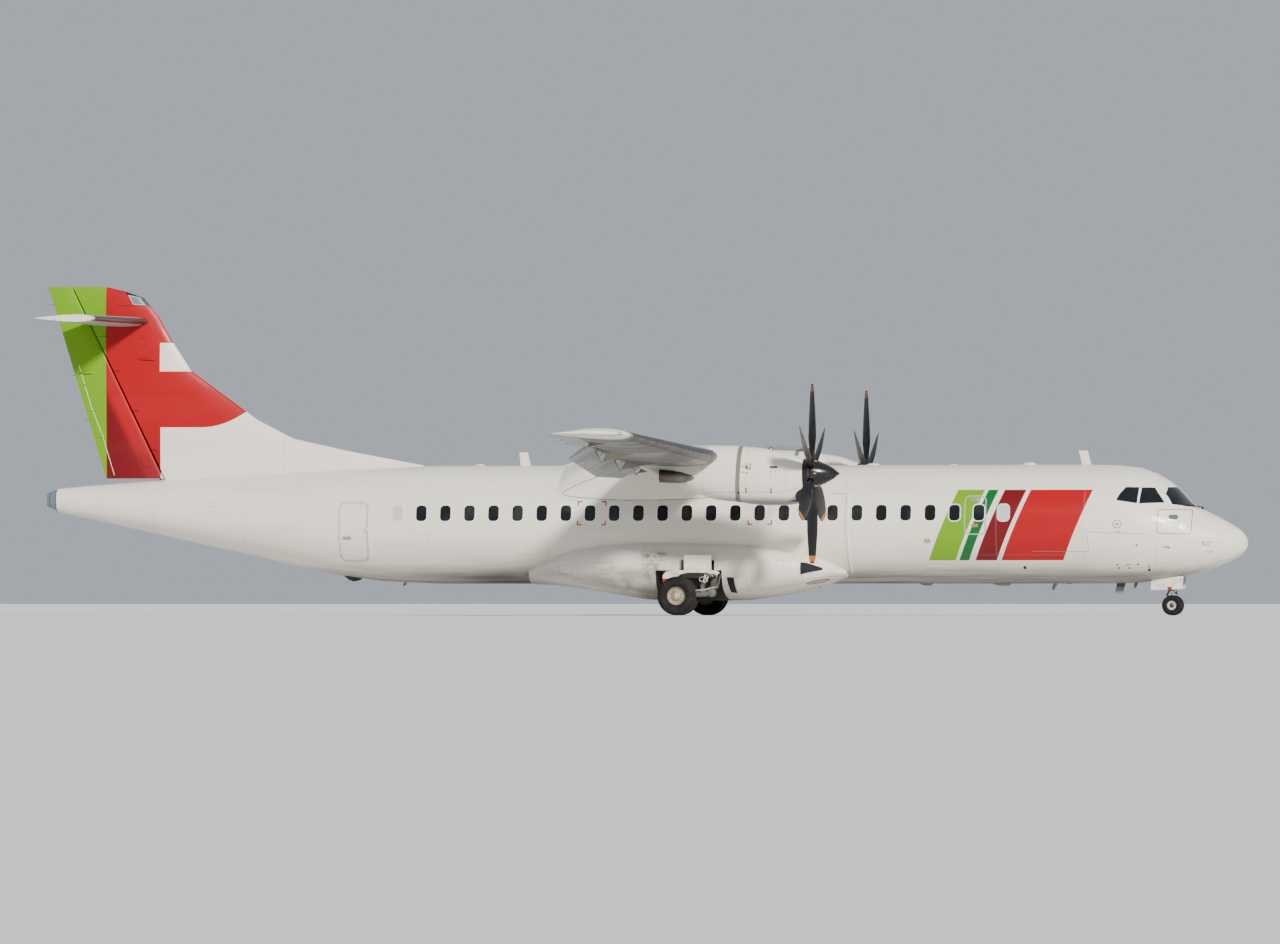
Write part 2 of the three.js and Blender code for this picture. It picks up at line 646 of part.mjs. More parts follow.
// Nacelles: station, half width, top, bottom and level of the widest point
const NACELLE_SECTIONS = [
  [4268, 335, 3450, 2465, 3050],
  [3840, 430, 3590, 2410, 3010],
  [3330, 470, 3680, 2420, 3000],
  [2860, 480, 3720, 2480, 3010],
  [2350, 480, 3740, 2540, 3050],
  [1710, 465, 3700, 2730, 3150],
  [1200, 420, 3600, 2960, 3280],
  [660, 300, 3440, 3230, 3350],
]
const makeNacelles = () => {
  const rings = NACELLE_SECTIONS.map(([x, halfWidth, top, bottom, level]) =>
    ovalRing(x, halfWidth, top, bottom, level, 2.3, 24)
      .map((point) => point.add(new THREE.Vector3(0, ENGINE_Y, 0))))
  const shell = loft(rings)
  const alongX = (x0, x1, y, z, radius, sides) => rod([x0, y, z], [x1, y, z], radius, radius, sides)
  const bay = alongX(ENGINE_REAR_X, 4230, ENGINE_Y, ENGINE_AXIS_Z, ENGINE_RADIUS + 10, 16)
  const shaftHole = alongX(4190, 4400, ENGINE_Y, PROPELLER_Z, SHAFT_RADIUS + 0.95, 24)
  const intake = loft([[4300, 215, 2655, 2500], [3900, 170, 2650, 2520]].map(
    ([x, halfWidth, top, bottom]) => ovalRing(x, halfWidth, top, bottom, (top + bottom) / 2, 2.6, 12)
      .map((point) => point.add(new THREE.Vector3(0, ENGINE_Y, 0)))))
  const wing = wingSolid([ENGINE_Y - 700, ENGINE_Y + 700], GAP)
  const pipeY = ENGINE_Y + 370
  const pipe = rod([1950, pipeY - 60, 3040], [1130, pipeY + 20, 3060], 150, 142, 14)
    .subtract(rod([1500, pipeY - 20, 3050], [1100, pipeY + 22, 3061], 128, 128, 14))
  const pipeSeat = rod([1960, pipeY - 61, 3040], [1120, pipeY + 21, 3060], 150 + GAP, 142 + GAP, 14)
  // A small ram-air scoop stands on the outboard side and opens forward
  const scoopY = ENGINE_Y + 452
  const scoop = rod([2860, scoopY - 60, 3310], [3150, scoopY, 3270], 55, 78, 12)
  const scoopMouth = rod([3060, scoopY, 3272], [3160, scoopY, 3270], 62, 66, 12)
  const left = shell.subtract(bay).subtract(shaftHole).subtract(intake).add(scoop)
    .subtract(scoopMouth).subtract(wing).subtract(pipeSeat)
  const exhaust = pipe.subtract(wing)
  const engine = alongX(ENGINE_REAR_X, ENGINE_FRONT_X, ENGINE_Y, ENGINE_AXIS_Z, ENGINE_RADIUS, 16)
  const pieces = { nacelle: left, exhaust, engine }
  const look = { nacelle: finish.white, exhaust: finish.steel, engine: finish.castMetal }
  for (const [name, solid] of Object.entries(pieces)) {
    add(`${name}_left`, solid, look[name])
    add(`${name}_right`, mirrored(solid), look[name])
  }
}

// Propeller blade: radius, chord, thickness and pitch in degrees
const BLADE_SECTIONS = [
  [150, 104, 104, 60],
  [375, 110, 100, 58],
  [780, 298, 44, 44],
  [1300, 332, 28, 33],
  [1850, 265, 13, 26],
  [PROPELLER_RADIUS, 150, 6, 25],
]
const BLADE_RING_POINTS = 10
const makePropellers = () => {
  const rings = BLADE_SECTIONS.map(([radius, chord, thickness, pitch]) => {
    const angle = THREE.MathUtils.degToRad(pitch)
    return Array.from({ length: BLADE_RING_POINTS }, (_, i) => {
      const turn = (2 * Math.PI * i) / BLADE_RING_POINTS
      const along = (chord / 2) * Math.cos(turn)
      const across = (thickness / 2) * Math.sin(turn)
      return new THREE.Vector3(
        along * Math.sin(angle) + across * Math.cos(angle),
        -along * Math.cos(angle) + across * Math.sin(angle),
        radius)
    })
  })
  const blade = geometryOf(loft(rings))
  const shank = new THREE.CylinderGeometry(76, 76, 260, 8).rotateX(Math.PI / 2).translate(0, 0, 330)
  const spokes = (geometry, y) => Array.from({ length: BLADE_COUNT }, (_, i) =>
    solidOf(geometry, placedAt(PROPELLER_X, y, PROPELLER_Z)
      .multiply(new THREE.Matrix4().makeRotationX((2 * Math.PI * i) / BLADE_COUNT))))
  const dome = [[SPINNER_RADIUS, 0], [318, 160], [275, 320], [210, 470], [115, 640], [0, 770]]
  const shellDepth = 16
  const inside = [[SPINNER_RADIUS - shellDepth, -20], [298, 160], [250, 320], [0, 640]]
  const base = [SPINNER_BASE_X, 0, PROPELLER_Z]
  for (const [side, y] of [['left', ENGINE_Y], ['right', -ENGINE_Y]]) {
    const centre = [base[0], y, base[2]]
    const hub = rod([SPINNER_BASE_X - 4, y, PROPELLER_Z], [4570, y, PROPELLER_Z], 190, 190, 12)
    const plate = rod([SPINNER_BASE_X - 14, y, PROPELLER_Z], [SPINNER_BASE_X, y, PROPELLER_Z],
      SPINNER_RADIUS - 5, SPINNER_RADIUS - 5, 20)
    const shaft = rod([4200, y, PROPELLER_Z], [4300, y, PROPELLER_Z], SHAFT_RADIUS)
    add(`propeller_blades_${side}`, joined([hub, plate, shaft, ...spokes(blade, y)]), finish.black)
    const outside = turned([[0, 0], ...dome], centre, 'x', 20)
    const hollow = turned([[0, -20], ...inside], centre, 'x', 20)
    const spinner = spokes(shank, y).reduce((left, hole) => left.subtract(hole), outside.subtract(hollow))
    add(`spinner_${side}`, spinner, finish.black)
  }
}

// Fin: level, leading edge and largest half thickness
const FIN_SECTIONS = [
  [2950, -4600, 150],
  [3360, -4990, 150],
  [3690, -6730, 150],
  [3960, -7930, 150],
  [4370, -8740, 148],
  [5050, -9670, 140],
  [5500, -10290, 132],
  [6150, -10710, 122],
  [6700, -11010, 112],
  [7130, -11370, 100],
  [7290, -11810, 88],
  [FIN_TOP, -12250, 62],
]
const hingeX = (z) => RUDDER_HINGE.x + RUDDER_HINGE.rake * (z - RUDDER_HINGE.z)
const trailingX = (z) => RUDDER_TRAILING.x + RUDDER_TRAILING.rake * (z - RUDDER_TRAILING.z)
const RUDDER_RADII = [[3075, 120], [4200, 112], [5600, 96], [FIN_TOP, 66]]
const RUDDER_NOSE_GAP = 14
const rudderRadius = (z) => {
  const next = Math.max(1, RUDDER_RADII.findIndex(([level]) => level >= z))
  const [[low, lowRadius], [high, highRadius]] = RUDDER_RADII.slice(next - 1, next + 1)
  return THREE.MathUtils.lerp(lowRadius, highRadius, Math.max(0, (z - low) / (high - low)))
}
const RUDDER_PIN_RADIUS = 25
const rudderBar = (low, high, radius, sides = 12) =>
  rod([hingeX(low), 0, low], [hingeX(high), 0, high], radius, radius, sides)

const ELEVATOR_INNER_Y = 260
const ELEVATOR_NOSE = 0.685
const ELEVATOR_PIN_RADIUS = 12
const elevatorBar = (from, to, radius, sides = 10) => {
  const inner = onSection(tailplaneStation(ELEVATOR_INNER_Y), ELEVATOR_NOSE)
  const outer = onSection(tailplaneStation(TAILPLANE_HALF_SPAN), ELEVATOR_NOSE)
  const span = TAILPLANE_HALF_SPAN - ELEVATOR_INNER_Y
  const at = (y) => inner.clone().lerp(outer, (y - ELEVATOR_INNER_Y) / span)
  return rod([...at(from)], [...at(to)], radius, radius, sides)
}

const makeTail = (rear) => {
  // Share of the distance from leading edge to rear face, and share of the half thickness
  const shape = [[0.02, 0.22], [0.1, 0.5], [0.32, 0.8], [0.65, 1], [1, 0.88]]
  const fin = loft(FIN_SECTIONS.map(([z, nose, half]) => {
    const back = hingeX(z) + rudderRadius(z) + RUDDER_NOSE_GAP
    const edge = shape.map(([share, thick]) => [nose + share * (back - nose), half * thick])
    return [new THREE.Vector3(nose, 0, z),
      ...edge.map(([x, y]) => new THREE.Vector3(x, y, z)),
      ...edge.toReversed().map(([x, y]) => new THREE.Vector3(x, -y, z))]
  }))
  const rearEdge = (y) => (Math.abs(y) < 100 ? 0.58 : 0.64)
  const stabiliser = (grown) => loft([-TAILPLANE_HALF_SPAN, -260, 0, 260, TAILPLANE_HALF_SPAN].map(
    (y) => aerofoilRing(tailplaneStation(y), rearEdge(y), grown)))
  add('fin', fin.subtract(rear).subtract(stabiliser(GAP)), finish.red)
  const bracket = block([-12605, 224, 6575], [-12440, 246, 6625])
    .subtract(elevatorBar(210, 256, ELEVATOR_PIN_RADIUS + 0.8, 20))
  add('tailplane', joined([stabiliser(0), bracket, mirrored(bracket)]), finish.grey)

  const rudderLevels = [3075, 4200, 5600, FIN_TOP - 60, FIN_TOP]
    .map((z) => [z, z === FIN_TOP ? 40 : rudderRadius(z)])
  const rudder = loft(rudderLevels.map(([z, radius]) => surfaceRing(
    new THREE.Vector3(hingeX(z), 0, z),
    new THREE.Vector3(Math.max(trailingX(z), -NOSE_X), 0, z), radius, [0, 1, 0])))
    .add(rudderBar(2965, 3110, RUDDER_PIN_RADIUS))
  add('rudder', rudder, finish.green)

  const slant = 0.6
  const elevator = loft([[ELEVATOR_INNER_Y, slant], [TAILPLANE_HALF_SPAN, 0]].map(([y, cut]) => {
    const station = tailplaneStation(y)
    const ring = surfaceOnStation(station, ELEVATOR_NOSE)
    const hinge = onSection(station, ELEVATOR_NOSE)
    return ring.map((point) => point.add(
      new THREE.Vector3(0, cut * Math.max(0, hinge.x - point.x), 0)))
  })).add(elevatorBar(222, ELEVATOR_INNER_Y + 90, ELEVATOR_PIN_RADIUS))
  add('elevator_left', elevator, finish.grey)
  add('elevator_right', mirrored(elevator), finish.grey)
}

// Cockpit glass: side windows drawn in side view, the windscreen drawn in front view
const SIDE_WINDOWS = [
  [10790, 2530], [10860, 2680], [11000, 2850], [11590, 2840], [11840, 2480], [11270, 2460],
]
const WINDSCREEN = [
  [45, 2400], [45, 2840], [520, 2835], [735, 2680], [810, 2450], [520, 2400],
]
const GLASS_DEPTH = 45
const glassOutline = (outline, shrink) => {
  const middle = [0, 1].map((k) => outline.reduce((sum, p) => sum + p[k], 0) / outline.length)
  return outline.map((p) => p.map((value, k) => middle[k] + (value - middle[k]) * shrink))
}

const makeGlass = (nose) => {
  const within = fuselageBetween(NOSE_X, NOSE_JOINT_X, GLASS_DEPTH)
  const seat = fuselageBetween(NOSE_X, NOSE_JOINT_X, GLASS_DEPTH + GAP)
  const flush = fuselageBetween(NOSE_X, NOSE_JOINT_X, 6)
  const side = (shrink) => sidePlate(glassOutline(SIDE_WINDOWS, shrink), 500, 1400)
  const front = (shrink) => {
    const outline = glassOutline(WINDSCREEN, shrink)
    const shape = new THREE.Shape(outline.map(([y, z]) => new THREE.Vector2(y, z)))
    const prism = new THREE.ExtrudeGeometry(shape, { depth: 1300, bevelEnabled: false })
    const upright = new THREE.Matrix4().makeBasis(
      new THREE.Vector3(0, 1, 0), new THREE.Vector3(0, 0, 1), new THREE.Vector3(1, 0, 0))
    prism.applyMatrix4(upright)
    return solidOf(prism, placedAt(11690, 0, 0))
  }
  const fit = 0.998
  let left = nose
  for (const [name, make] of [['side_windows', side], ['windscreen', front]]) {
    const pane = make(fit).intersect(flush).subtract(within)
    const hole = make(1).subtract(seat)
    add(`${name}_left`, pane, finish.glass)
    add(`${name}_right`, mirrored(pane), finish.glass)
    left = left.subtract(hole).subtract(mirrored(hole))
  }
  return left
}

// Tyre and wheel profiles, as radius and distance from the wheel's middle
const tyreProfile = (radius, bead, width) => {
  const half = width / 2
  const wall = radius - bead
  return [
    [bead, -half * 0.76], [bead + wall * 0.5, -half], [radius - wall * 0.1, -half * 0.8],
    [radius, -half * 0.42], [radius, half * 0.42], [radius - wall * 0.1, half * 0.8],
    [bead + wall * 0.5, half], [bead, half * 0.76], [bead, -half * 0.76],
  ]
}

const wheelPair = ({ x, y, radius, bead, width, spacing, axle, sides, names }) => {
  // A loaded tyre stands on a flat patch, so a flat of each wheel is turned down to the ground
  const halfStep = Math.PI / sides
  const crown = radius / Math.cos(halfStep)
  const onItsFlat = (solid) =>
    solidOf(geometryOf(solid), turnedAbout([x, y, radius], [0, 1, 0], halfStep))
  const offsets = [-spacing / 2, spacing / 2]
  offsets.forEach((offset, i) => {
    const tyre = turned(tyreProfile(crown, bead, width), [x, y + offset, radius], 'y', sides)
    add(names.tyres[i], onItsFlat(tyre), finish.rubber)
  })
  const rim = bead - GAP
  const half = width / 2
  const hubs = offsets.map((offset) => {
    const out = Math.sign(offset)
    const profile = [[0, -half * 0.6], [rim, -half * 0.7], [rim, half * 0.72],
      [rim * 0.8, half * 0.4], [rim * 0.4, half * 0.72], [0, half * 0.76]]
    const placed = out > 0 ? profile : profile.map(([r, d]) => [r, -d]).reverse()
    return turned(placed, [x, y + offset, radius], 'y', sides)
  })
  const bar = rod([x, y + offsets[0], radius], [x, y + offsets[1], radius], axle, axle, 12)
  add(names.hubs, onItsFlat(joined([...hubs, bar])), finish.steel)
}

// Main gear: a slanted leg, a trailing arm between the twin wheels and a shock strut
const GEAR_KNEE = [GEAR_LEG_X, TRACK / 2, 500]
const MAIN_AXLE_RADIUS = 48
const makeMainGear = (cabin) => {
  for (const [side, sign] of [['left', 1], ['right', -1]]) {
    const outer = sign > 0 ? 1 : 0
    const tyres = [`main_tyre_${side}_${outer ? 'inner' : 'outer'}`,
      `main_tyre_${side}_${outer ? 'outer' : 'inner'}`]
    wheelPair({
      x: MAIN_AXLE_X, y: (sign * TRACK) / 2, radius: MAIN_WHEEL_RADIUS, bead: MAIN_RIM_RADIUS,
      width: MAIN_TYRE_WIDTH, spacing: MAIN_TWIN_SPACING, axle: MAIN_AXLE_RADIUS, sides: 24,
      names: { tyres, hubs: `main_wheels_${side}` },
    })
  }
  const middle = TRACK / 2
  const top = [GEAR_LEG_X, 1210, 1150]
  const legSolid = (grown) => joined([
    rod(top, GEAR_KNEE, 105 + grown, 80 + grown, 12),
    rod([GEAR_LEG_X - 230, 1240, 1140], [GEAR_LEG_X + 179, 1240, 1140], 85, 85, 12),
    rod([GEAR_LEG_X, middle - 62 - grown, 500], [GEAR_LEG_X, middle + 62 + grown, 500],
      92 + grown, 92 + grown, 12),
    rod([GEAR_LEG_X - 170, 1240, 1130], [1690, middle + grown, 640], 62 + grown, 46 + grown, 12),
    block([GEAR_LEG_X - 260, 900, 1060], [GEAR_LEG_X + 179.6, 1240, 1220]),
  ]).subtract(cabin)
  const leg = legSolid(0)
  const legRoom = legSolid(GAP)
  const armHeel = [GEAR_LEG_X - 80, middle, 488]
  const arm = joined([
    rod(armHeel, [MAIN_AXLE_X + 30, middle, MAIN_WHEEL_RADIUS], 62, 56, 12),
    rod([MAIN_AXLE_X, middle - 70, MAIN_WHEEL_RADIUS], [MAIN_AXLE_X, middle + 70, MAIN_WHEEL_RADIUS],
      82, 82, 12),
    rod([1690, middle, 480], [1690, middle, 600], 44, 44, 12),
  ])
  const bore = rod([MAIN_AXLE_X, middle - 90, MAIN_WHEEL_RADIUS],
    [MAIN_AXLE_X, middle + 90, MAIN_WHEEL_RADIUS], MAIN_AXLE_RADIUS + 0.95, MAIN_AXLE_RADIUS + 0.95, 24)
  const armSolid = arm.subtract(legRoom).subtract(bore)
  const doorOutline = [[797, 890], [794, 748], [967, 709], [1015, 801], [1206, 919], [1364, 953],
    [1772, 947], [2022, 898], [2070, 952], [1977, 994], [1880, 1000], [1880, 1338], [1270, 1341],
    [1270, 1001], [1018, 1000], [877, 981]]
  const door = joined([
    sidePlate(doorOutline, 2010, 2034),
    rod([1860, 1640, 850], [1820, 2020, 950], 26, 26, 8),
    rod([1940, 1640, 850], [1980, 2020, 930], 26, 26, 8),
  ])
  const pieces = { main_leg: leg, main_trailing_arm: armSolid, main_gear_door: door.subtract(legRoom) }
  for (const [name, solid] of Object.entries(pieces)) {
    const look = name === 'main_gear_door' ? finish.white : finish.gear
    add(`${name}_left`, solid, look)
    add(`${name}_right`, mirrored(solid), look)
  }
}

// Nose gear: a leg in its bay, a steered fork with the axle boss, twin wheels and two doors
const NOSE_WELL = { low: [11440, -260, 500], high: [12190, 260, 1400] }
const NOSE_AXLE_RADIUS = 26
const FORK_TUBE_RADIUS = 40
const makeNoseGear = (room) => {
  const at = (z) => [NOSE_AXLE_X, 0, z]
  wheelPair({
    x: NOSE_AXLE_X, y: 0, radius: NOSE_WHEEL_RADIUS, bead: NOSE_RIM_RADIUS, width: NOSE_TYRE_WIDTH,
    spacing: NOSE_TWIN_SPACING, axle: NOSE_AXLE_RADIUS, sides: 20,
    names: { tyres: ['nose_tyre_right', 'nose_tyre_left'], hubs: 'nose_wheels' },
  })
  const socket = rod(at(540), at(760), FORK_TUBE_RADIUS + 0.9, FORK_TUBE_RADIUS + 0.9, 24)
  const leg = joined([
    rod(at(560), at(1399.7), 68, 78, 12),
    rod([NOSE_AXLE_X, -259.7, 1180], [NOSE_AXLE_X, 259.7, 1180], 48, 48, 12),
    rod([11430, 0, 1130], [NOSE_AXLE_X, 0, 860], 30, 30, 12),
  ]).subtract(socket).subtract(room)
  add('nose_leg', leg, finish.gear)
  const fork = joined([
    rod(at(225), at(740), FORK_TUBE_RADIUS),
    rod([NOSE_AXLE_X, -74, 225], [NOSE_AXLE_X, 74, 225], 52, 52, 12),
  ]).subtract(rod([NOSE_AXLE_X, -90, 225], [NOSE_AXLE_X, 90, 225],
    NOSE_AXLE_RADIUS + 1, NOSE_AXLE_RADIUS + 1, 20))
  add('nose_fork', fork, finish.gear)
  const doorOutline = [[11450, 560], [11470, 830], [12180, 870], [12150, 585]]
  const door = joined([
    sidePlate(doorOutline, 262, 284),
    rod([11560, 230, 835], [11560, 275, 800], 14, 14, 8),
    rod([12060, 230, 880], [12060, 275, 840], 14, 14, 8),
  ]).subtract(room)
  add('nose_gear_door_left', door, finish.white)
  add('nose_gear_door_right', mirrored(door), finish.white)
}

// Jack pad under the forward cabin, pad on the roof, and the blade aerials as points of (x, z)
const JACK_PAD_X = 9600
const AERIAL_PAD_X = 7000
const AERIAL_THICKNESS = 22
const FRONT_AERIAL = [[9890, 3335], [10098, 3335], [10010, 3655], [9815, 3660]]
const REAR_AERIAL = [[-2760, 3335], [-2530, 3335], [-2600, 3640], [-2790, 3640]]
const BELLY_AERIAL = [[10664, 720], [10858, 720], [10783, 440], [10607, 447]]

// Assembly
const wingCut = wingSolid([-2200, 2200], GAP)

let centre = fuselageBetween(NOSE_JOINT_X, REAR_JOINT_X)
const cabinRoom = solidOf(geometryOf(fuselageBetween(NOSE_X, -NOSE_X, -GAP)))
makeWingFairing(cabinRoom)
makeSponsons(cabinRoom)
centre = doorIn(centre, fuselageBetween(NOSE_JOINT_X, REAR_JOINT_X, DOOR_THICKNESS),
  fuselageBetween(NOSE_JOINT_X, REAR_JOINT_X, DOOR_POCKET), CARGO_DOOR, CARGO_HINGE, 'cargo_door')
const plateAerial = (outline) => sidePlate(outline, -AERIAL_THICKNESS / 2, AERIAL_THICKNESS / 2)
const centreFittings = [
  rod([JACK_PAD_X, 0, 725], [JACK_PAD_X, 0, 697], 60, 60, 16),
  rod([AERIAL_PAD_X, 0, 3330], [AERIAL_PAD_X, 0, 3355], 95, 95, 16),
  plateAerial(FRONT_AERIAL),
  plateAerial(REAR_AERIAL),
]
add('fuselage_centre', joined([centre.subtract(wingCut), ...centreFittings]), finish.white)

let rear = fuselageBetween(REAR_JOINT_X, TAIL_CAP_JOINT_X)
const rearCore = fuselageBetween(REAR_JOINT_X, TAIL_CAP_JOINT_X, DOOR_THICKNESS)
const rearPocket = fuselageBetween(REAR_JOINT_X, TAIL_CAP_JOINT_X, DOOR_POCKET)
rear = doorIn(rear, rearCore, rearPocket, PASSENGER_DOOR, PASSENGER_HINGE, 'passenger_door')
rear = doorIn(rear, rearCore, rearPocket, SERVICE_DOOR, SERVICE_HINGE, 'service_door')
const rudderBearing = rudderBar(2940, 3070, RUDDER_PIN_RADIUS + 0.9, 20)
add('fuselage_rear', rear.subtract(rudderBearing), finish.white)
add('tail_cap', fuselageBetween(TAIL_CAP_JOINT_X, -NOSE_X), finish.grey)

const noseWell = block(NOSE_WELL.low, NOSE_WELL.high)
const closeNoseWell = block(
  NOSE_WELL.low.map((value) => value + GAP), NOSE_WELL.high.map((value) => value - GAP))
const noseRoom = fuselageBetween(NOSE_X, NOSE_JOINT_X, -GAP).subtract(closeNoseWell)
const noseSection = fuselageBetween(RADOME_JOINT_X, NOSE_JOINT_X).subtract(noseWell)
makeNoseGear(noseRoom)
add('fuselage_nose', makeGlass(noseSection).add(plateAerial(BELLY_AERIAL)), finish.white)
add('radome', fuselageBetween(NOSE_X, RADOME_JOINT_X), finish.white)

makeWing()
makeNacelles()
makePropellers()
makeTail(cabinRoom)
makeMainGear(cabinRoom)

export default aeroplane
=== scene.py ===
# %% [markdown]
# # A twin-turboprop airliner, dressed around its CAD frame
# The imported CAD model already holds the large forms: the body, wing, tail, gear and propellers.
# This notebook keeps them where they are, mixes a finish for each one from shader nodes, and adds
# the thin things that show from outside: windows, seams, lamps, probes, pipes, latches and wicks.

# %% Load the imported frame
import math

import bmesh
import bpy
from mathutils import Matrix, Vector
from mathutils.bvhtree import BVHTree


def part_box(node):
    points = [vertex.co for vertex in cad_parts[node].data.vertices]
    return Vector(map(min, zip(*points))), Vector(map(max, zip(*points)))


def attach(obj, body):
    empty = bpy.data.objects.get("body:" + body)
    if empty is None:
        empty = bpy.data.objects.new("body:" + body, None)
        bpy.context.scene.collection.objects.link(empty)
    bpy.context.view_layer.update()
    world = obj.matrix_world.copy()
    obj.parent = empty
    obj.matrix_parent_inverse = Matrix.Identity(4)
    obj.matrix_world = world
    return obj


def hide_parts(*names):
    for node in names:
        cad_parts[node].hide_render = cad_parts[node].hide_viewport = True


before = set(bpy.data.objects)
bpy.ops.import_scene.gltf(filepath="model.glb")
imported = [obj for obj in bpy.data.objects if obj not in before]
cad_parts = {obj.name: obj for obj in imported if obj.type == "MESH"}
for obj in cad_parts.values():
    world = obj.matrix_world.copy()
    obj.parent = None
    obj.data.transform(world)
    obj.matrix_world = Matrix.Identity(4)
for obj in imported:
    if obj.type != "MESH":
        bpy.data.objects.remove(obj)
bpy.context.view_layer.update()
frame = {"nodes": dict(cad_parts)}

nodes = frame["nodes"]

# %% [markdown]
# ## Camera, floor and light
# The photograph was taken from the starboard side through a very long lens, a little ahead of
# abeam. Such a lens hardly shows perspective, so the camera stands 258 m away. The photograph looks
# up at the belly, and an aeroplane that stands on its wheels can't be seen from there, so the
# camera is lowered only as far as the floor. A wide pale disc and a soft sun make a plain studio.

# %% Camera at floor level
VIEW_TURN = math.radians(9.54)
VIEW_DISTANCE = 258.0
VIEW_HEIGHT = 0.3
VIEW_WIDTH = 28.57
VIEW_CENTRE = Vector((-0.058, 0.0, 3.2))
camera_data = bpy.data.cameras.new("camera")
camera = bpy.data.objects.new("camera", camera_data)
bpy.context.scene.collection.objects.link(camera)
bpy.context.scene.camera = camera
camera_data.lens = camera_data.sensor_width * VIEW_DISTANCE / VIEW_WIDTH
camera_data.clip_end = 4000
camera.location = VIEW_CENTRE + VIEW_DISTANCE * Vector((math.sin(VIEW_TURN), -math.cos(VIEW_TURN), 0))
camera.location.z = VIEW_HEIGHT
camera.rotation_euler = (VIEW_CENTRE - camera.location).to_track_quat("-Z", "Y").to_euler()
print("lens", round(camera_data.lens, 1), "mm at", [round(v, 2) for v in camera.location])

# %% Sun, sky and world
SUN_TURN = math.radians(34)
SUN_HEIGHT = math.radians(25)
sun_data = bpy.data.lights.new("sun", "SUN")
sun_data.energy = 5.6
sun_data.angle = math.radians(6)
sun_data.color = (1.0, 0.96, 0.9)
sun = bpy.data.objects.new("sun", sun_data)
bpy.context.scene.collection.objects.link(sun)
sun_side = Vector((
    math.sin(SUN_TURN) * math.cos(SUN_HEIGHT),
    -math.cos(SUN_TURN) * math.cos(SUN_HEIGHT),
    math.sin(SUN_HEIGHT)))
sun.rotation_euler = sun_side.to_track_quat("Z", "Y").to_euler()
world = bpy.data.worlds.new("studio")
world.use_nodes = True
world.node_tree.nodes["Background"].inputs["Color"].default_value = (0.80, 0.87, 0.97, 1)
world.node_tree.nodes["Background"].inputs["Strength"].default_value = 0.55
bpy.context.scene.world = world

# %% [markdown]
# ## A small language for finishes
# A procedural finish is arithmetic on where a point lies: how far it is from a seam, how high on
# the belly, how noisy the dirt is there. Written as nodes that is hard to read, so one class wraps
# a socket and lets Python's own operators stand for Math nodes. Colours never pass through a Math
# node, which would turn them grey: they are blended by Mix nodes.

# %% A socket that does arithmetic
def maths(operation):
    """A method that adds one Math node behind a wire."""
    def method(self, *others):
        return self.finish.node("ShaderNodeMath", {"operation": operation}, dict(enumerate([self, *others])))
    return method


class Wire:
    """An output socket of a finish. Every operator adds a Math node behind it."""

    def __init__(self, finish, socket):
        self.finish = finish
        self.socket = socket

    __add__ = maths("ADD")
    __sub__ = maths("SUBTRACT")
    __mul__ = maths("MULTIPLY")
    __pow__ = maths("POWER")
    __abs__ = maths("ABSOLUTE")
    root = maths("SQRT")
    least = maths("MINIMUM")
    most = maths("MAXIMUM")
    folded = maths("PINGPONG")

    def __rsub__(self, other):
        return self.finish.node("ShaderNodeMath", {"operation": "SUBTRACT"}, {0: other, 1: self})

    def from_multiple(self, pitch):
        """Distance to the nearest multiple of pitch."""
        return self.folded(pitch / 2)

    def rise(self, start, end):
        """0 before start, 1 after end, and a smooth step between."""
        return self.finish.node(
            "ShaderNodeMapRange", {"interpolation_type": "SMOOTHSTEP"},
            {0: self, 1: start, 2: end, 3: 0.0, 4: 1.0})

    def fall(self, start, end):
        return 1 - self.rise(start, end)

    def between(self, low, high, soft=0.006):
        return self.rise(low - soft, low + soft) * self.fall(high - soft, high + soft)


def nearest(wire, places):
    """Distance from a coordinate to the nearest of some places."""
    found = abs(wire - places[0])
    for place in places[1:]:
        found = found.least(abs(wire - place))
    return found


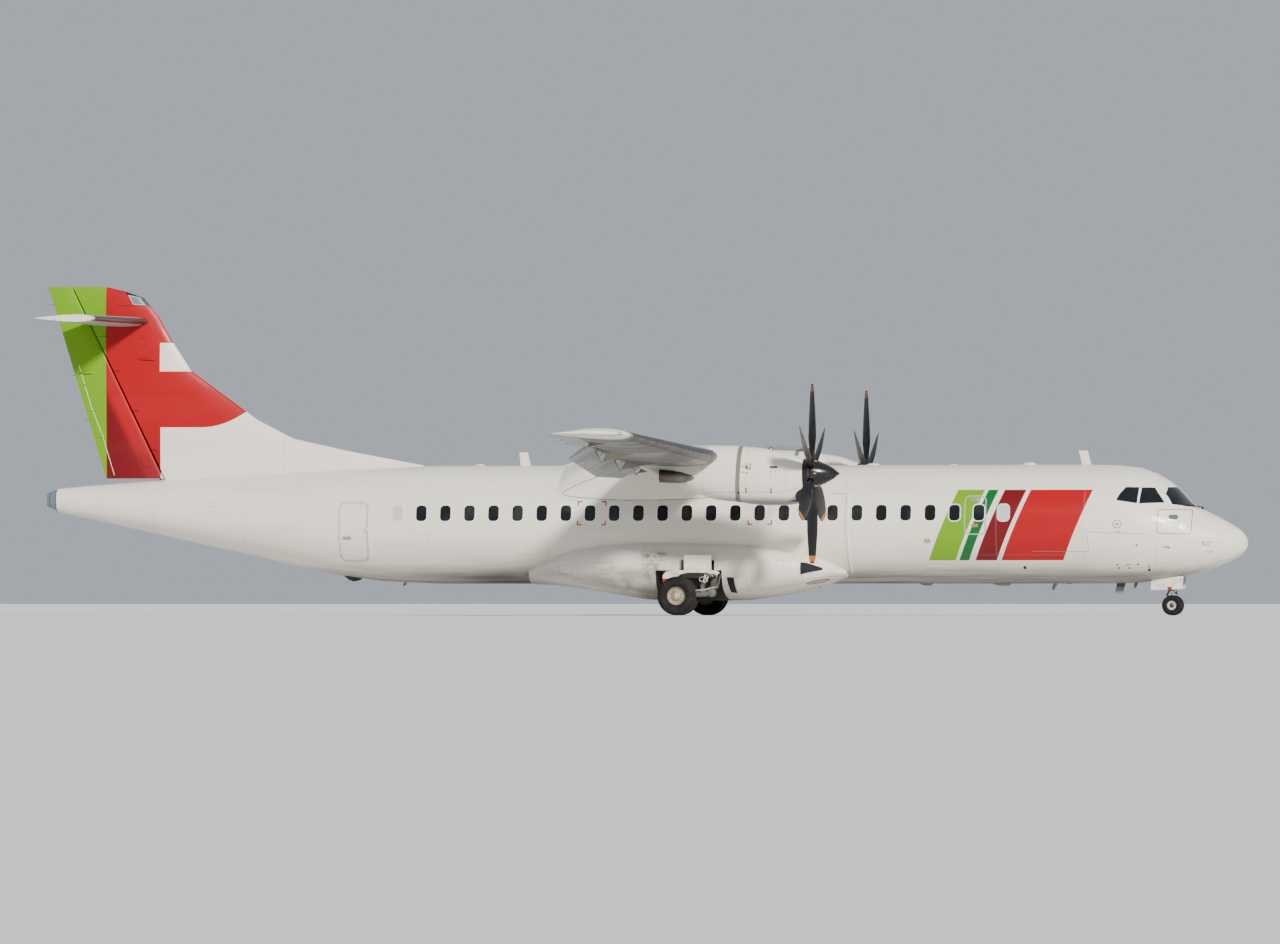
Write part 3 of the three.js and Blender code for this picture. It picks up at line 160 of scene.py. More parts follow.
# %% A finish under the brush
class Finish:
    """A material in the making: a Principled shader and the nodes that feed it."""

    def __init__(self, name, colour, roughness=0.4, metallic=0.0, coat=(0.0, 0.03), gloss=0.5):
        self.material = bpy.data.materials.new(name)
        self.material.use_nodes = True
        self.tree = self.material.node_tree
        self.shader = self.tree.nodes["Principled BSDF"]
        self.colour = colour
        self.roughness = roughness
        self.height = None
        for socket, value in (
                ("Base Color", colour), ("Roughness", roughness), ("Metallic", metallic),
                ("Coat Weight", coat[0]), ("Coat Roughness", coat[1]), ("Specular IOR Level", gloss)):
            self.set_socket(self.shader.inputs[socket], value)
        self.place = self.node("ShaderNodeTexCoord", {}, {}, output="Object")
        self.x = self.node("ShaderNodeSeparateXYZ", {}, {0: self.place})
        self.z = Wire(self, self.x.socket.node.outputs["Z"])
        self.out = abs(Wire(self, self.x.socket.node.outputs["Y"]))

    def set_socket(self, socket, value):
        if isinstance(value, Wire):
            self.tree.links.new(value.socket, socket)
        elif isinstance(value, tuple) and socket.type == "RGBA":
            socket.default_value = (*value[:3], 1.0)
        else:
            socket.default_value = value

    def node(self, kind, settings, sockets, output=0):
        """Adds any node: first its settings, then the values or wires of its sockets."""
        made = self.tree.nodes.new(kind)
        for key, value in settings.items():
            setattr(made, key, value)
        for key, value in sockets.items():
            self.set_socket(made.inputs[key], value)
        return Wire(self, made.outputs[output])

    def noise(self, scale, detail=3.0, stretch=(1, 1, 1), shift=0.0):
        """Soft random patches between 0 and 1, drawn out along an axis by a small stretch."""
        spread = self.node("ShaderNodeVectorMath", {"operation": "MULTIPLY"}, {0: self.place, 1: stretch})
        moved = self.node(
            "ShaderNodeVectorMath", {"operation": "ADD"}, {0: spread, 1: (shift, shift, shift)})
        return self.node("ShaderNodeTexNoise", {}, {"Vector": moved, "Scale": scale, "Detail": detail})

    def lay(self, mask, over):
        """Puts a colour over what is there already, as far as the mask says."""
        sockets = {0: mask, 6: self.colour, 7: over}
        self.colour = self.node("ShaderNodeMix", {"data_type": "RGBA"}, sockets, output=2)

    def stain(self, colour, amount, noise, low, high, within=None):
        """Lays a colour where a noise lies above low, fully where it lies above high."""
        patches = self.noise(*noise).rise(low, high)
        self.lay((patches if within is None else patches * within) * amount, colour)
        return patches

    def roughen(self, mask, amount):
        self.roughness = mask * amount + self.roughness

    def raise_by(self, height):
        """Adds to the relief, in metres."""
        self.height = height if self.height is None else self.height + height

    def done(self):
        self.set_socket(self.shader.inputs["Base Color"], self.colour)
        self.set_socket(self.shader.inputs["Roughness"], self.roughness)
        if self.height is not None:
            bump = self.node(
                "ShaderNodeBump", {}, {"Strength": 1.0, "Distance": 1.0, "Height": self.height})
            self.set_socket(self.shader.inputs["Normal"], bump)
        print("finish", self.material.name, "from", len(self.tree.nodes), "nodes")
        return self.material


def plain(name, colour, roughness, stain, wear=None, relief=None, **rest):
    """A finish of one colour and one stain. Wear roughens it and relief raises it, each by a noise."""
    made = Finish(name, colour, roughness, **rest)
    made.stain(*stain)
    if wear:
        made.roughen(made.noise(*wear[:2]), wear[2])
    if relief:
        made.raise_by(made.noise(*relief[:2]) * relief[2])
    return made.done()


# %% [markdown]
# ## White paint on the body
# An airliner's skin is sheet metal over frames, butt-jointed in rings and lapped along the body,
# with rows of flush rivets beside every joint. From the ramp the joints are hairlines. They could
# be cut into the mesh, but a line 4 mm wide on a body 27 m long is cheaper and crisper as relief
# in the shader. Dirt gathers low on the belly and runs aft, so its noise is stretched along X.

# %% Joints, rivets and dirt
WARM_WHITE = (0.80, 0.75, 0.655)
BELLY_GRIME = (0.30, 0.28, 0.25)
LINE_SHADE = (0.30, 0.29, 0.28)
JOINT_HALF_WIDTH = 0.003
RIVET_OFFSET = 0.022
RIVET_PITCH = 0.026
RIVET_RADIUS = 0.0032


def hairline(distance, half_width=JOINT_HALF_WIDTH):
    return distance.fall(half_width * 0.5, half_width * 1.8)


def jointed(finish, distance, along, shade=0.55, depth=0.0012):
    """A joint where distance is nought, with a row of rivets on each side of it."""
    line = hairline(distance)
    row = abs(distance - RIVET_OFFSET).fall(RIVET_RADIUS * 0.5, RIVET_RADIUS)
    dots = along.from_multiple(RIVET_PITCH).fall(RIVET_RADIUS * 0.5, RIVET_RADIUS)
    finish.lay(line * shade, LINE_SHADE)
    finish.lay(row * dots * 0.2, LINE_SHADE)
    finish.raise_by(line * -depth)
    finish.raise_by(row * dots * 0.0004)


def weathered(finish, amount=0.35):
    """Broad stains drawn out along the body, and a fine unevenness in the gloss."""
    stains = finish.noise(1.4, 4.0, (0.25, 1, 1.6)).rise(0.45, 0.8)
    finish.lay(stains * amount * 0.4, BELLY_GRIME)
    finish.roughen(stains, 0.18)
    finish.roughen(finish.noise(28, 2.0), 0.08)
    finish.raise_by(finish.noise(3.0, 1.0) * 0.002)


# %% Colours laid over the white, and the leaning bands forward
BRIGHT_RED = (0.36, 0.0, 0.004)
DARK_RED = (0.14, 0.0, 0.003)
LEAF_GREEN = (0.14, 0.32, 0.0)
DEEP_GREEN = (0.0, 0.11, 0.02)
BAND_LEAN = 0.42
BAND_LOW = 1.22
BAND_HIGH = 2.78
FORWARD_BANDS = [
    # from, to, colour
    (6.62, 7.22, LEAF_GREEN),
    (7.30, 7.52, DEEP_GREEN),
    (7.66, 8.14, DARK_RED),
    (8.24, 9.62, BRIGHT_RED),
]


def forward_bands(finish):
    """Plain bands in green and red that lean forward over the forward cabin."""
    leaning = finish.x - (finish.z - BAND_LOW) * BAND_LEAN
    tall = finish.z.between(BAND_LOW, BAND_HIGH)
    for start, end, colour in FORWARD_BANDS:
        finish.lay(leaning.between(start, end) * tall, colour)


# %% The skin, with a keel darkened by grime and painted shade, a bare aerial foot and painted shade in the nose wheel well
SKIN_RINGS = [-12.3, -11.0, -8.9, -7.6, -4.6, -1.9, 4.76, 6.1, 8.15, 10.1, 11.65, 12.98]
SKIN_LAPS = [1.34, 2.78]
WELL_SHADE = (0.045, 0.045, 0.04)
skin = Finish("white_paint", WARM_WHITE, 0.34, coat=(0.1, 0.12), gloss=0.35)
skin.stain(BELLY_GRIME, 0.5, (2.2, 4.0, (0.22, 1, 1)), 0.25, 0.75, within=skin.z.fall(0.7, 1.6))
# Painted shade and grime: the belly, all but its tail end, darkens to brown-grey towards the bottom.
keel_grime_and_shade = skin.z.fall(0.68, 1.22) * skin.x.rise(-12.0, -9.0)
skin.lay(keel_grime_and_shade * 0.8, (0.13, 0.12, 0.10))
skin.stain((0.045, 0.04, 0.035), 0.7, (5.0, 5.0, (0.12, 1, 1)), 0.4, 0.7, within=keel_grime_and_shade)
weathered(skin)
forward_bands(skin)
jointed(skin, nearest(skin.x, SKIN_RINGS), skin.z)
jointed(skin, nearest(skin.z, SKIN_LAPS), skin.x, shade=0.25)
aerial_foot = skin.x.between(10.58, 10.88, 0.002) * skin.out.fall(0.013, 0.014)
skin.lay(aerial_foot * skin.z.between(0.638, 0.72, 0.002), (0.05, 0.05, 0.05))
# Painted shade: the inside of the nose wheel well is laid near black.
nose_well = skin.x.between(11.438, 12.192, 0.001) * skin.out.fall(0.261, 0.262)
skin.lay(nose_well * skin.z.fall(1.401, 1.402), WELL_SHADE)
SKIN = skin.done()

# %% [markdown]
# ## Fairings, wing, tail and propellers
# The fairings and cowls are moulded, so nearly all their joints are lines without rivet rows. They
# take soot behind the exhausts and spray behind the wheels. Wings are a flat grey that hides fuel
# stains, with black rubber boots that blow the ice off their noses. All of it is painted by masks
# on one material for each part, because a mask costs no mesh. Fin and rudder have plain fields.

# %% Moulded white fairings, dirtiest round the wheels
FAIRING_RINGS = [-1.2, 0.3, 2.62, 3.86]
moulding = Finish("white_composite", WARM_WHITE, 0.33, coat=(0.15, 0.15), gloss=0.4)
x, z, out = moulding.x, moulding.z, moulding.out
moulding.lay(hairline(nearest(x, FAIRING_RINGS)) * out.fall(2.2, 2.4) * 0.5, LINE_SHADE)
GRIME_PATCHES = [
    # colour, amount, noise, its low and high, where it lies
    (BELLY_GRIME, 0.55, (2.0, 4.0, (0.3, 1, 1)), 0.2, 0.8, z.fall(0.55, 1.25)),
    ((0.10, 0.09, 0.08), 0.6, (5, 3.0), 0.3, 0.8,
     x.between(-0.6, 2.2, 0.5) * z.fall(0.6, 1.3) * out.rise(0.5, 1.4)),
    ((0.09, 0.08, 0.07), 0.75, (14, 4.0, (0.6, 1, 1)), 0.42, 0.6,
     x.between(0.30, 0.82, 0.12) * z.between(1.26, 1.40, 0.05) * out.rise(1.2, 1.4)),
    ((0.17, 0.15, 0.12), 0.7, (9, 5.0, (0.7, 1, 0.8), 5.0), 0.4, 0.62,
     x.between(0.30, 0.72, 0.2) * z.between(0.74, 1.2, 0.1) * out.rise(1.2, 1.4)),
    ((0.16, 0.14, 0.12), 0.6, (3, 5.0, (0.15, 1, 1), 3.0), 0.35, 0.7,
     x.between(-1.9, 0.6, 0.6) * z.fall(0.9, 1.35) * out.rise(1.0, 1.3)),
]
for patch in GRIME_PATCHES:
    moulding.stain(*patch)
weathered(moulding)
# Painted shade: the inside of the main wheel bays is laid near black, with grime over it.
bay = x.between(0.5985, 2.0815, 0.0005)
low_bay = bay * z.fall(1.0005, 1.001) * z.rise(0.2, 0.201)
high_bay = bay * z.fall(1.3205, 1.321) * out.fall(1.641, 1.642)
slot_bay = x.between(1.1785, 1.9135, 0.0005) * z.fall(1.2255, 1.226)
sponson_well = (low_bay * out.rise(0.638, 0.639)).most(high_bay).most(slot_bay)
moulding.lay(sponson_well, WELL_SHADE)
moulding.stain((0.10, 0.085, 0.06), 0.5, (4, 4.0), 0.4, 0.7, within=sponson_well)
MOULDING = moulding.done()

# %% Gear doors, with a red mark each
door_paint = Finish("gear_door_paint", WARM_WHITE, 0.32, coat=(0.3, 0.15))
door_paint.lay(door_paint.x.fall(0.965, 0.968) * door_paint.z.fall(0.815, 0.818), BRIGHT_RED)
door_paint.lay(door_paint.x.between(11.82, 11.92, 0.003) * door_paint.z.fall(0.635, 0.638), BRIGHT_RED)
door_paint.stain((0.16, 0.13, 0.10), 0.5, (8, 5.0, (0.6, 1, 1)), 0.4, 0.7, door_paint.z.fall(0.9, 1.2))
door_paint.lay(hairline(nearest(door_paint.z, [1.325, 1.02])) * 0.4, LINE_SHADE)
weathered(door_paint)
DOOR_PAINT = door_paint.done()

# %% Nacelle cowls: a metal band, soot, a bottom darkened by oil and painted shade, and a rubber chin
HUB_X = 4.449
HUB_Y = 4.05
HUB_Z = 3.112
COWL_LINE_Z = 2.70
COWL_SEAMS = [3.60, 3.91, 3.05]
SOOT = (0.05, 0.045, 0.04)
cowl = Finish("nacelle_paint", WARM_WHITE, 0.31, coat=(0.2, 0.15), gloss=0.4)
x, z, out = cowl.x, cowl.z, cowl.out
jointed(cowl, abs(x - 2.09), z, shade=0.8)
cowl.lay(hairline(nearest(x, COWL_SEAMS), 0.004) * z.rise(2.66, 2.70) * 0.65, LINE_SHADE)
long_line = abs(z - COWL_LINE_Z - x.rise(3.6, 4.2) * 0.07)
cowl.lay(hairline(long_line, 0.005) * x.between(2.09, 4.2) * 0.8, LINE_SHADE)
off_band = abs(x - 2.87 - (z - 3.1) * 0.04)
band = off_band.fall(0.042, 0.046)
cowl.lay(band * 0.92, (0.13, 0.115, 0.09))
cowl.lay(hairline(abs(off_band - 0.044), 0.004) * 0.8, (0.07, 0.06, 0.05))
cowl.raise_by(band * 0.003)
beside_exhaust = x.fall(1.0, 2.3) * abs(z - 3.05).fall(0.1, 0.45) * out.rise(4.0, 4.4)
cowl.stain(SOOT, 0.75, (6, 4.0, (0.3, 1, 1)), 0.2, 0.7, beside_exhaust)
# Painted shade and oil: the bottom of the cowl is darkened to dark brown.
cowl.lay(z.fall(2.47, 2.64) * 0.8, (0.075, 0.065, 0.055))
cowl.stain((0.22, 0.19, 0.16), 0.6, (3.5, 4.0, (0.35, 1, 1)), 0.35, 0.75, z.fall(2.45, 2.75))
weathered(cowl)
chin_boot = (((x - 4.33) * 4.6) ** 2.0 + ((z - 2.60) * 5.4) ** 2.0).fall(0.96, 1.0)
cowl.lay(chin_boot, (0.018, 0.018, 0.018))
cowl.raise_by(chin_boot * 0.002)
# Painted shade: the throat of the chin intake behind its boot is laid near black.
throat = abs(out - HUB_Y).fall(0.222, 0.226) * z.between(2.496, 2.662, 0.002)
cowl.lay(throat * x.between(3.88, 4.262, 0.004), (0.008, 0.008, 0.009))
COWL = cowl.done()

# %% Grey wing with black boots, painted shade and patches underneath
NOSE_X = 2.41
TIP_NOSE_X = 1.86
NOSE_BREAK_Y = 4.89
TIP_Y = 13.02
NOSE_SWEEP = (NOSE_X - TIP_NOSE_X) / (TIP_Y - NOSE_BREAK_Y)
RIBS_Y = [1.9, 2.9, 4.89, 6.2, 7.6, 9.0, 10.4, 11.8]
SPARS_AFT = [0.34, 1.25]
COVER_PITCH = 0.62
BOOT_BLACK = (0.022, 0.022, 0.024)
wing = Finish("wing_grey", (0.30, 0.31, 0.32), 0.42, coat=(0.15, 0.3))
x, out = wing.x, wing.out
aft_of_nose = NOSE_X - (out - NOSE_BREAK_Y).most(0.0) * NOSE_SWEEP - x
jointed(wing, nearest(out, RIBS_Y), x, shade=0.6)
jointed(wing, nearest(aft_of_nose, SPARS_AFT), out, shade=0.6)
streaks = wing.stain((0.12, 0.115, 0.11), 0.5, (1.1, 5.0, (0.35, 2.4, 1)), 0.4, 0.75)
wing.stain((0.48, 0.47, 0.45), 0.45, (2.7, 4.0, (0.3, 3.0, 1), 7.0), 0.55, 0.78)
wing.lay(abs(out - 4.35).fall(0.1, 0.7) * x.fall(0.2, 1.6) * 0.55, SOOT)
# Painted shade: faces that turn downward are darkened to near black.
facing = wing.node("ShaderNodeNewGeometry", {}, {}, output="Normal")
underneath = wing.node("ShaderNodeSeparateXYZ", {}, {0: facing}, output="Z").fall(-0.4, 0.1)
wing.lay(underneath * 0.8, (0.055, 0.053, 0.05))
wing.stain((0.34, 0.29, 0.21), 0.5, (0.9, 3.0, (1.0, 0.7, 1), 3.0), 0.56, 0.64, underneath)
off_cover = (out.from_multiple(COVER_PITCH) ** 2.0 + ((aft_of_nose - 0.78) * 0.55) ** 2.0).root()
wing.lay(underneath * hairline(abs(off_cover - 0.115), 0.004) * 0.7, (0.03, 0.03, 0.03))
wing.roughen(streaks, 0.15)
wing.lay(out.rise(12.86, 12.88), WARM_WHITE)
boot = aft_of_nose.fall(0.13, 0.137) * out.fall(12.6, 12.61)
wing.lay(boot, BOOT_BLACK)
boot_ribs = out.from_multiple(0.9).fall(0.004, 0.01)
wing.raise_by(boot * 0.0015)
wing.raise_by(boot * boot_ribs * -0.001)
wing.lay(boot * boot_ribs * 0.6, (0.08, 0.08, 0.08))
wing.raise_by(wing.noise(2.4, 1.0) * 0.002)
WING = wing.done()

# %% Flaps, ailerons and their fairings, greyer and more worn
FLAP_RIBS_Y = [2.4, 3.2, 4.0, 5.6, 6.6, 7.6, 9.0, 10.5, 12.0]
flap = Finish("flap_grey", (0.36, 0.365, 0.37), 0.45, coat=(0.1, 0.3))
jointed(flap, nearest(flap.out, FLAP_RIBS_Y), flap.x, shade=0.5)
wear = flap.stain((0.13, 0.12, 0.11), 0.55, (1.6, 5.0, (0.5, 2.6, 1)), 0.42, 0.72)
flap.stain((0.5, 0.5, 0.48), 0.3, (7, 3.0), 0.62, 0.7)
flap.roughen(wear, 0.15)
FLAP = flap.done()

# %% Fin and rudder: green, bright red, painted shade in dark red, and white at the foot
GREEN_EDGE_X = -12.22
RED_EDGE_X = -10.96
FIELD_FOOT_Z = 2.93
EDGE_SOFT = 0.006
HINGE_FOOT_X = -10.95
HINGE_FOOT_Z = 3.0
HINGE_RAKE = 0.4818
SEAM_SHADE = (0.03, 0.004, 0.004)
fin = Finish("fin_paint", WARM_WHITE, 0.36, coat=(0.05, 0.15), gloss=0.3)
x, z = fin.x, fin.z
jointed(fin, abs(x + 8.135), z, shade=0.8)
weathered(fin, amount=0.25)
foot = z.rise(FIELD_FOOT_Z - 0.004, FIELD_FOOT_Z + 0.004)
swept_up = (x + 10.0).most(0.0) ** 2.0 * 0.36
over_white = (z - 4.22 - swept_up).rise(-EDGE_SOFT, EDGE_SOFT)
behind_white = x.fall(RED_EDGE_X - EDGE_SOFT, RED_EDGE_X + EDGE_SOFT)
from_hinge = x - HINGE_FOOT_X + (z - HINGE_FOOT_Z) * HINGE_RAKE
on_rudder = from_hinge.fall(-0.03, 0.0)
fin.lay(over_white.most(behind_white).most(on_rudder) * foot, BRIGHT_RED)
# Painted shade: aft of a bright red strip at its nose the rudder turns dark red, where its curve falls in
# shade. Below that, fin and rudder aft of the white field darken towards the foot.
fin.lay(on_rudder * from_hinge.fall(-0.42, -0.18) * foot, DARK_RED)
fin.lay(behind_white * z.fall(3.0, 4.4) * foot * 0.7, DARK_RED)
fin.lay(x.rise(RED_EDGE_X - 0.026, RED_EDGE_X - 0.016) * z.between(5.48, 6.12), WARM_WHITE)
fin.lay(x.fall(GREEN_EDGE_X - EDGE_SOFT, GREEN_EDGE_X + EDGE_SOFT) * foot, LEAF_GREEN)
fin.lay(hairline(abs(z - 6.96), 0.006) * x.rise(-12.0, -11.95) * 0.7, SEAM_SHADE)
fin.lay(hairline(nearest(z, [3.9, 5.0])) * foot * 0.3, SEAM_SHADE)
cap_front = ((x + 11.79) * 0.55 + (z - 7.27)).rise(-0.035, -0.03)
fin.lay(cap_front * z.rise(6.93, 6.95) * x.rise(-11.8, -11.75), (0.01, 0.01, 0.012))
FIN = fin.done()

# %% Tailplane: grey with black boots and white tips
TAIL_NOSE_X = -11.25
TAIL_NOSE_SWEEP = 0.5 / 3.655
tailplane = Finish("tailplane_grey", (0.34, 0.345, 0.35), 0.4, coat=(0.2, 0.25))
aft_of_nose = TAIL_NOSE_X - tailplane.out * TAIL_NOSE_SWEEP - tailplane.x
jointed(tailplane, nearest(tailplane.out, [0.6, 1.5, 2.4, 3.2]), tailplane.x, shade=0.5)
tailplane.stain((0.14, 0.13, 0.12), 0.4, (2.4, 4.0, (0.5, 1.6, 1)), 0.4, 0.75)
tailplane.lay(tailplane.out.rise(3.36, 3.37), WARM_WHITE)
tail_boot = aft_of_nose.fall(0.1, 0.106) * tailplane.out.fall(3.5, 3.51)
tailplane.lay(tail_boot, BOOT_BLACK)
tailplane.raise_by(tail_boot * 0.0012)
TAILPLANE = tailplane.done()

# %% Tail cone cap, in grey blue with a dark rim
cap = Finish("tail_cap_grey", (0.16, 0.20, 0.25), 0.35, 0.2, coat=(0.3, 0.2))
cap.lay(hairline(nearest(cap.x, [-13.35, -13.5]), 0.008) * 0.8, (0.03, 0.03, 0.035))
weathered(cap)
CAP = cap.done()

# %% Propeller blades and spinners: black, chalked, with orange tips
def from_hub(finish):
    """Distance from the propeller's axis."""
    sideways = finish.out - HUB_Y
    upward = finish.z - HUB_Z
    return (sideways * sideways + upward * upward).root()


blade = Finish("blade_black", (0.008, 0.008, 0.009), 0.42, gloss=0.25)
chalk = blade.stain((0.07, 0.07, 0.072), 0.35, (9, 4.0, (1, 0.4, 0.4)), 0.5, 0.8)
blade.lay(from_hub(blade).between(1.80, 1.93), (0.36, 0.12, 0.03))
blade.roughen(chalk, 0.2)
BLADE = blade.done()
spinner = Finish("spinner_black", (0.008, 0.008, 0.0085), 0.25, coat=(0.25, 0.1), gloss=0.3)
spinner.lay(hairline(abs(spinner.x - 4.40), 0.004) * 0.6, (0.12, 0.12, 0.12))
spinner.stain((0.10, 0.08, 0.06), 0.3, (12, 3.0), 0.6, 0.8)
SPINNER = spinner.done()

# %% [markdown]
# ## Metal, rubber and glass
# Bare metal is only convincing where its roughness varies, and burnt steel changes colour with
# its heat. A tyre's side has fine raised rings, which relief gives well at this size. The cabin
# glass looks black by day, because the cabin behind it is dark: black paint under a clear coat
# gives that without any light passing through it.

# %% Burnt exhaust steel, machine metal, and gear enamel darkened by oil, dirt and painted shade
steel = Finish("exhaust_steel", (0.28, 0.25, 0.22), 0.38, 1.0)
steel.lay(steel.x.fall(1.15, 1.9) * 0.8, (0.10, 0.075, 0.06))
steel.stain((0.05, 0.045, 0.045), 0.5, (8, 4.0, (0.4, 1, 1)), 0.45, 0.75)
steel.roughen(steel.noise(14, 3.0), 0.25)
STEEL = steel.done()
ENGINE = plain("engine_metal", (0.32, 0.32, 0.33), 0.5, ((0.12, 0.11, 0.10), 0.5, (6, 4.0), 0.4, 0.7),
               relief=(40, 2.0, 0.0004), metallic=1.0)
# Painted shade and dirt: the gear enamel is laid near black, as gear in shade looks, with oil over it.
gear = Finish("gear_enamel_and_painted_shade", (0.11, 0.11, 0.105), 0.4, coat=(0.2, 0.3))
gear_oil = gear.stain((0.025, 0.022, 0.02), 0.75, (5, 5.0, (1, 1, 0.5)), 0.42, 0.68)
gear.stain((0.18, 0.14, 0.10), 0.4, (26, 3.0), 0.62, 0.7)
gear.roughen(gear_oil, 0.2)
gear.raise_by(gear.noise(60, 2.0) * 0.0003)
GEAR = gear.done()

# %% Wheels and tyres
MAIN_AXLE = (1.148, 0.432)
NOSE_AXLE = (11.913, 0.225)
FORWARD_SPLIT_X = 6.0


def from_axle(finish):
    """Distance from the axle of the nearer wheels, seen from the side."""
    forward = finish.x.rise(FORWARD_SPLIT_X, FORWARD_SPLIT_X + 0.01)
    along = finish.x - MAIN_AXLE[0] - forward * (NOSE_AXLE[0] - MAIN_AXLE[0])
    upward = finish.z - MAIN_AXLE[1] - forward * (NOSE_AXLE[1] - MAIN_AXLE[1])
    return (along * along + upward * upward).root()


hub = Finish("wheel_metal", (0.30, 0.23, 0.16), 0.5, 0.25)
reach = from_axle(hub)
hub.stain((0.46, 0.37, 0.27), 0.7, (14, 4.0), 0.35, 0.7)
hub.lay(reach.fall(0.053, 0.055), (0.50, 0.50, 0.47))
nose_hub = hub.x.rise(FORWARD_SPLIT_X, FORWARD_SPLIT_X + 0.01)
hub.lay(nose_hub * reach.between(0.056, 0.094, 0.003), (0.62, 0.60, 0.55))
hub.lay(nose_hub * reach.fall(0.052, 0.056), (0.06, 0.055, 0.05))
hub.stain((0.09, 0.065, 0.045), 0.7, (22, 5.0), 0.5, 0.72)
hub.lay(reach.rise(0.188, 0.2) * (1 - nose_hub) * 0.7, (0.08, 0.06, 0.04))
hub.roughen(hub.noise(30, 2.0), 0.2)
hub.raise_by(hub.noise(50, 2.0) * 0.0004)
HUB = hub.done()

tyre = Finish("tyre_rubber", (0.0055, 0.0053, 0.005), 0.75, gloss=0.22)
reach = from_axle(tyre)
tyre.lay(reach.rise(0.405, 0.415) * 0.5, (0.024, 0.022, 0.020))
tyre.raise_by(hairline(nearest(reach, [0.255, 0.30, 0.345]), 0.004) * 0.0015)
tyre.lay(hairline(nearest(reach, [0.30, 0.345]), 0.004) * 0.3, (0.06, 0.06, 0.06))
tyre.stain((0.035, 0.031, 0.027), 0.4, (7, 4.0), 0.4, 0.75)
tyre.raise_by(tyre.noise(90, 2.0) * 0.0004)
TYRE = tyre.done()

# %% Glass of the cockpit and of the cabin
COCKPIT_GLASS = plain("cockpit_glass", (0.004, 0.005, 0.006), 0.06,
                      ((0.012, 0.014, 0.018), 0.5, (3, 2.0), 0.4, 0.8),
                      wear=(30, 3.0, 0.05), coat=(0.3, 0.03), gloss=0.35)
PANE = plain("cabin_glass", (0.004, 0.0045, 0.006), 0.1, ((0.035, 0.035, 0.035), 0.6, (2.0, 2.0), 0.45, 0.75),
             wear=(50, 2.0, 0.06), coat=(0.3, 0.05), gloss=0.35)

# %% Give every CAD node its finish
NODES_OF = {
    # finish: how the names of its nodes start
    SKIN: ("cargo_door", "fuselage", "passenger_door", "radome", "service_door"),
    MOULDING: ("sponson", "wing_fairing"),
    DOOR_PAINT: ("main_gear_door", "nose_gear_door"),
    COWL: ("nacelle",),
    WING: ("wing_centre", "wing_outer"),
    FLAP: ("aileron", "flap"),
    FIN: ("fin", "rudder"),
    TAILPLANE: ("elevator", "tailplane"),
    CAP: ("tail_cap",),
    BLADE: ("propeller_blades",),
    SPINNER: ("spinner",),
    STEEL: ("exhaust",),
    ENGINE: ("engine",),
    GEAR: ("main_leg", "main_trailing_arm", "nose_fork", "nose_leg"),
    HUB: ("main_wheels", "nose_wheels"),
    TYRE: ("main_tyre", "nose_tyre"),
    COCKPIT_GLASS: ("side_windows", "windscreen"),
}
SMOOTH_ANGLE = math.radians(32)
WIDE_ANGLE = math.radians(50)


def soften(node, angle):
    """Shades a CAD solid as one smooth skin: its facets are welded, then split at edges past an angle."""
    mesh = node.data
    if "custom_normal" in mesh.attributes:
        mesh.attributes.remove(mesh.attributes["custom_normal"])
    mesh.polygons.foreach_set("use_smooth", [True] * len(mesh.polygons))
    weld = node.modifiers.new("weld", "WELD")
    weld.merge_threshold = 0.00002
    split = node.modifiers.new("split", "EDGE_SPLIT")
    split.split_angle = angle
    split.use_edge_sharp = False


for name, node in nodes.items():
    found = next(look for look, starts in NODES_OF.items() if name.startswith(starts))
    node.data.materials.clear()
    node.data.materials.append(found)
    node.data.polygons.foreach_set("material_index", [0] * len(node.data.polygons))
    soften(node, WIDE_ANGLE if name.startswith("propeller") else SMOOTH_ANGLE)
print("finishes:", len(NODES_OF), "on", len(nodes), "nodes")

# %% [markdown]
# ## Tools for thin pieces
# Small pieces are all made of rings of points skinned one to the next: a pipe is a ring carried
# along a path, a lamp is a ring that shrinks, and a window frame is a rounded outline laid on the
# skin. To lie on the curved body each point is thrown sideways at the CAD skin, and what it hits
# is where it goes, so no piece has to be fitted by hand.

# %% Rings, pipes and turned forms
SHAPES = []


def circle(count):
    """Angles that divide a turn evenly."""
    return [2 * math.pi * k / count for k in range(count)]


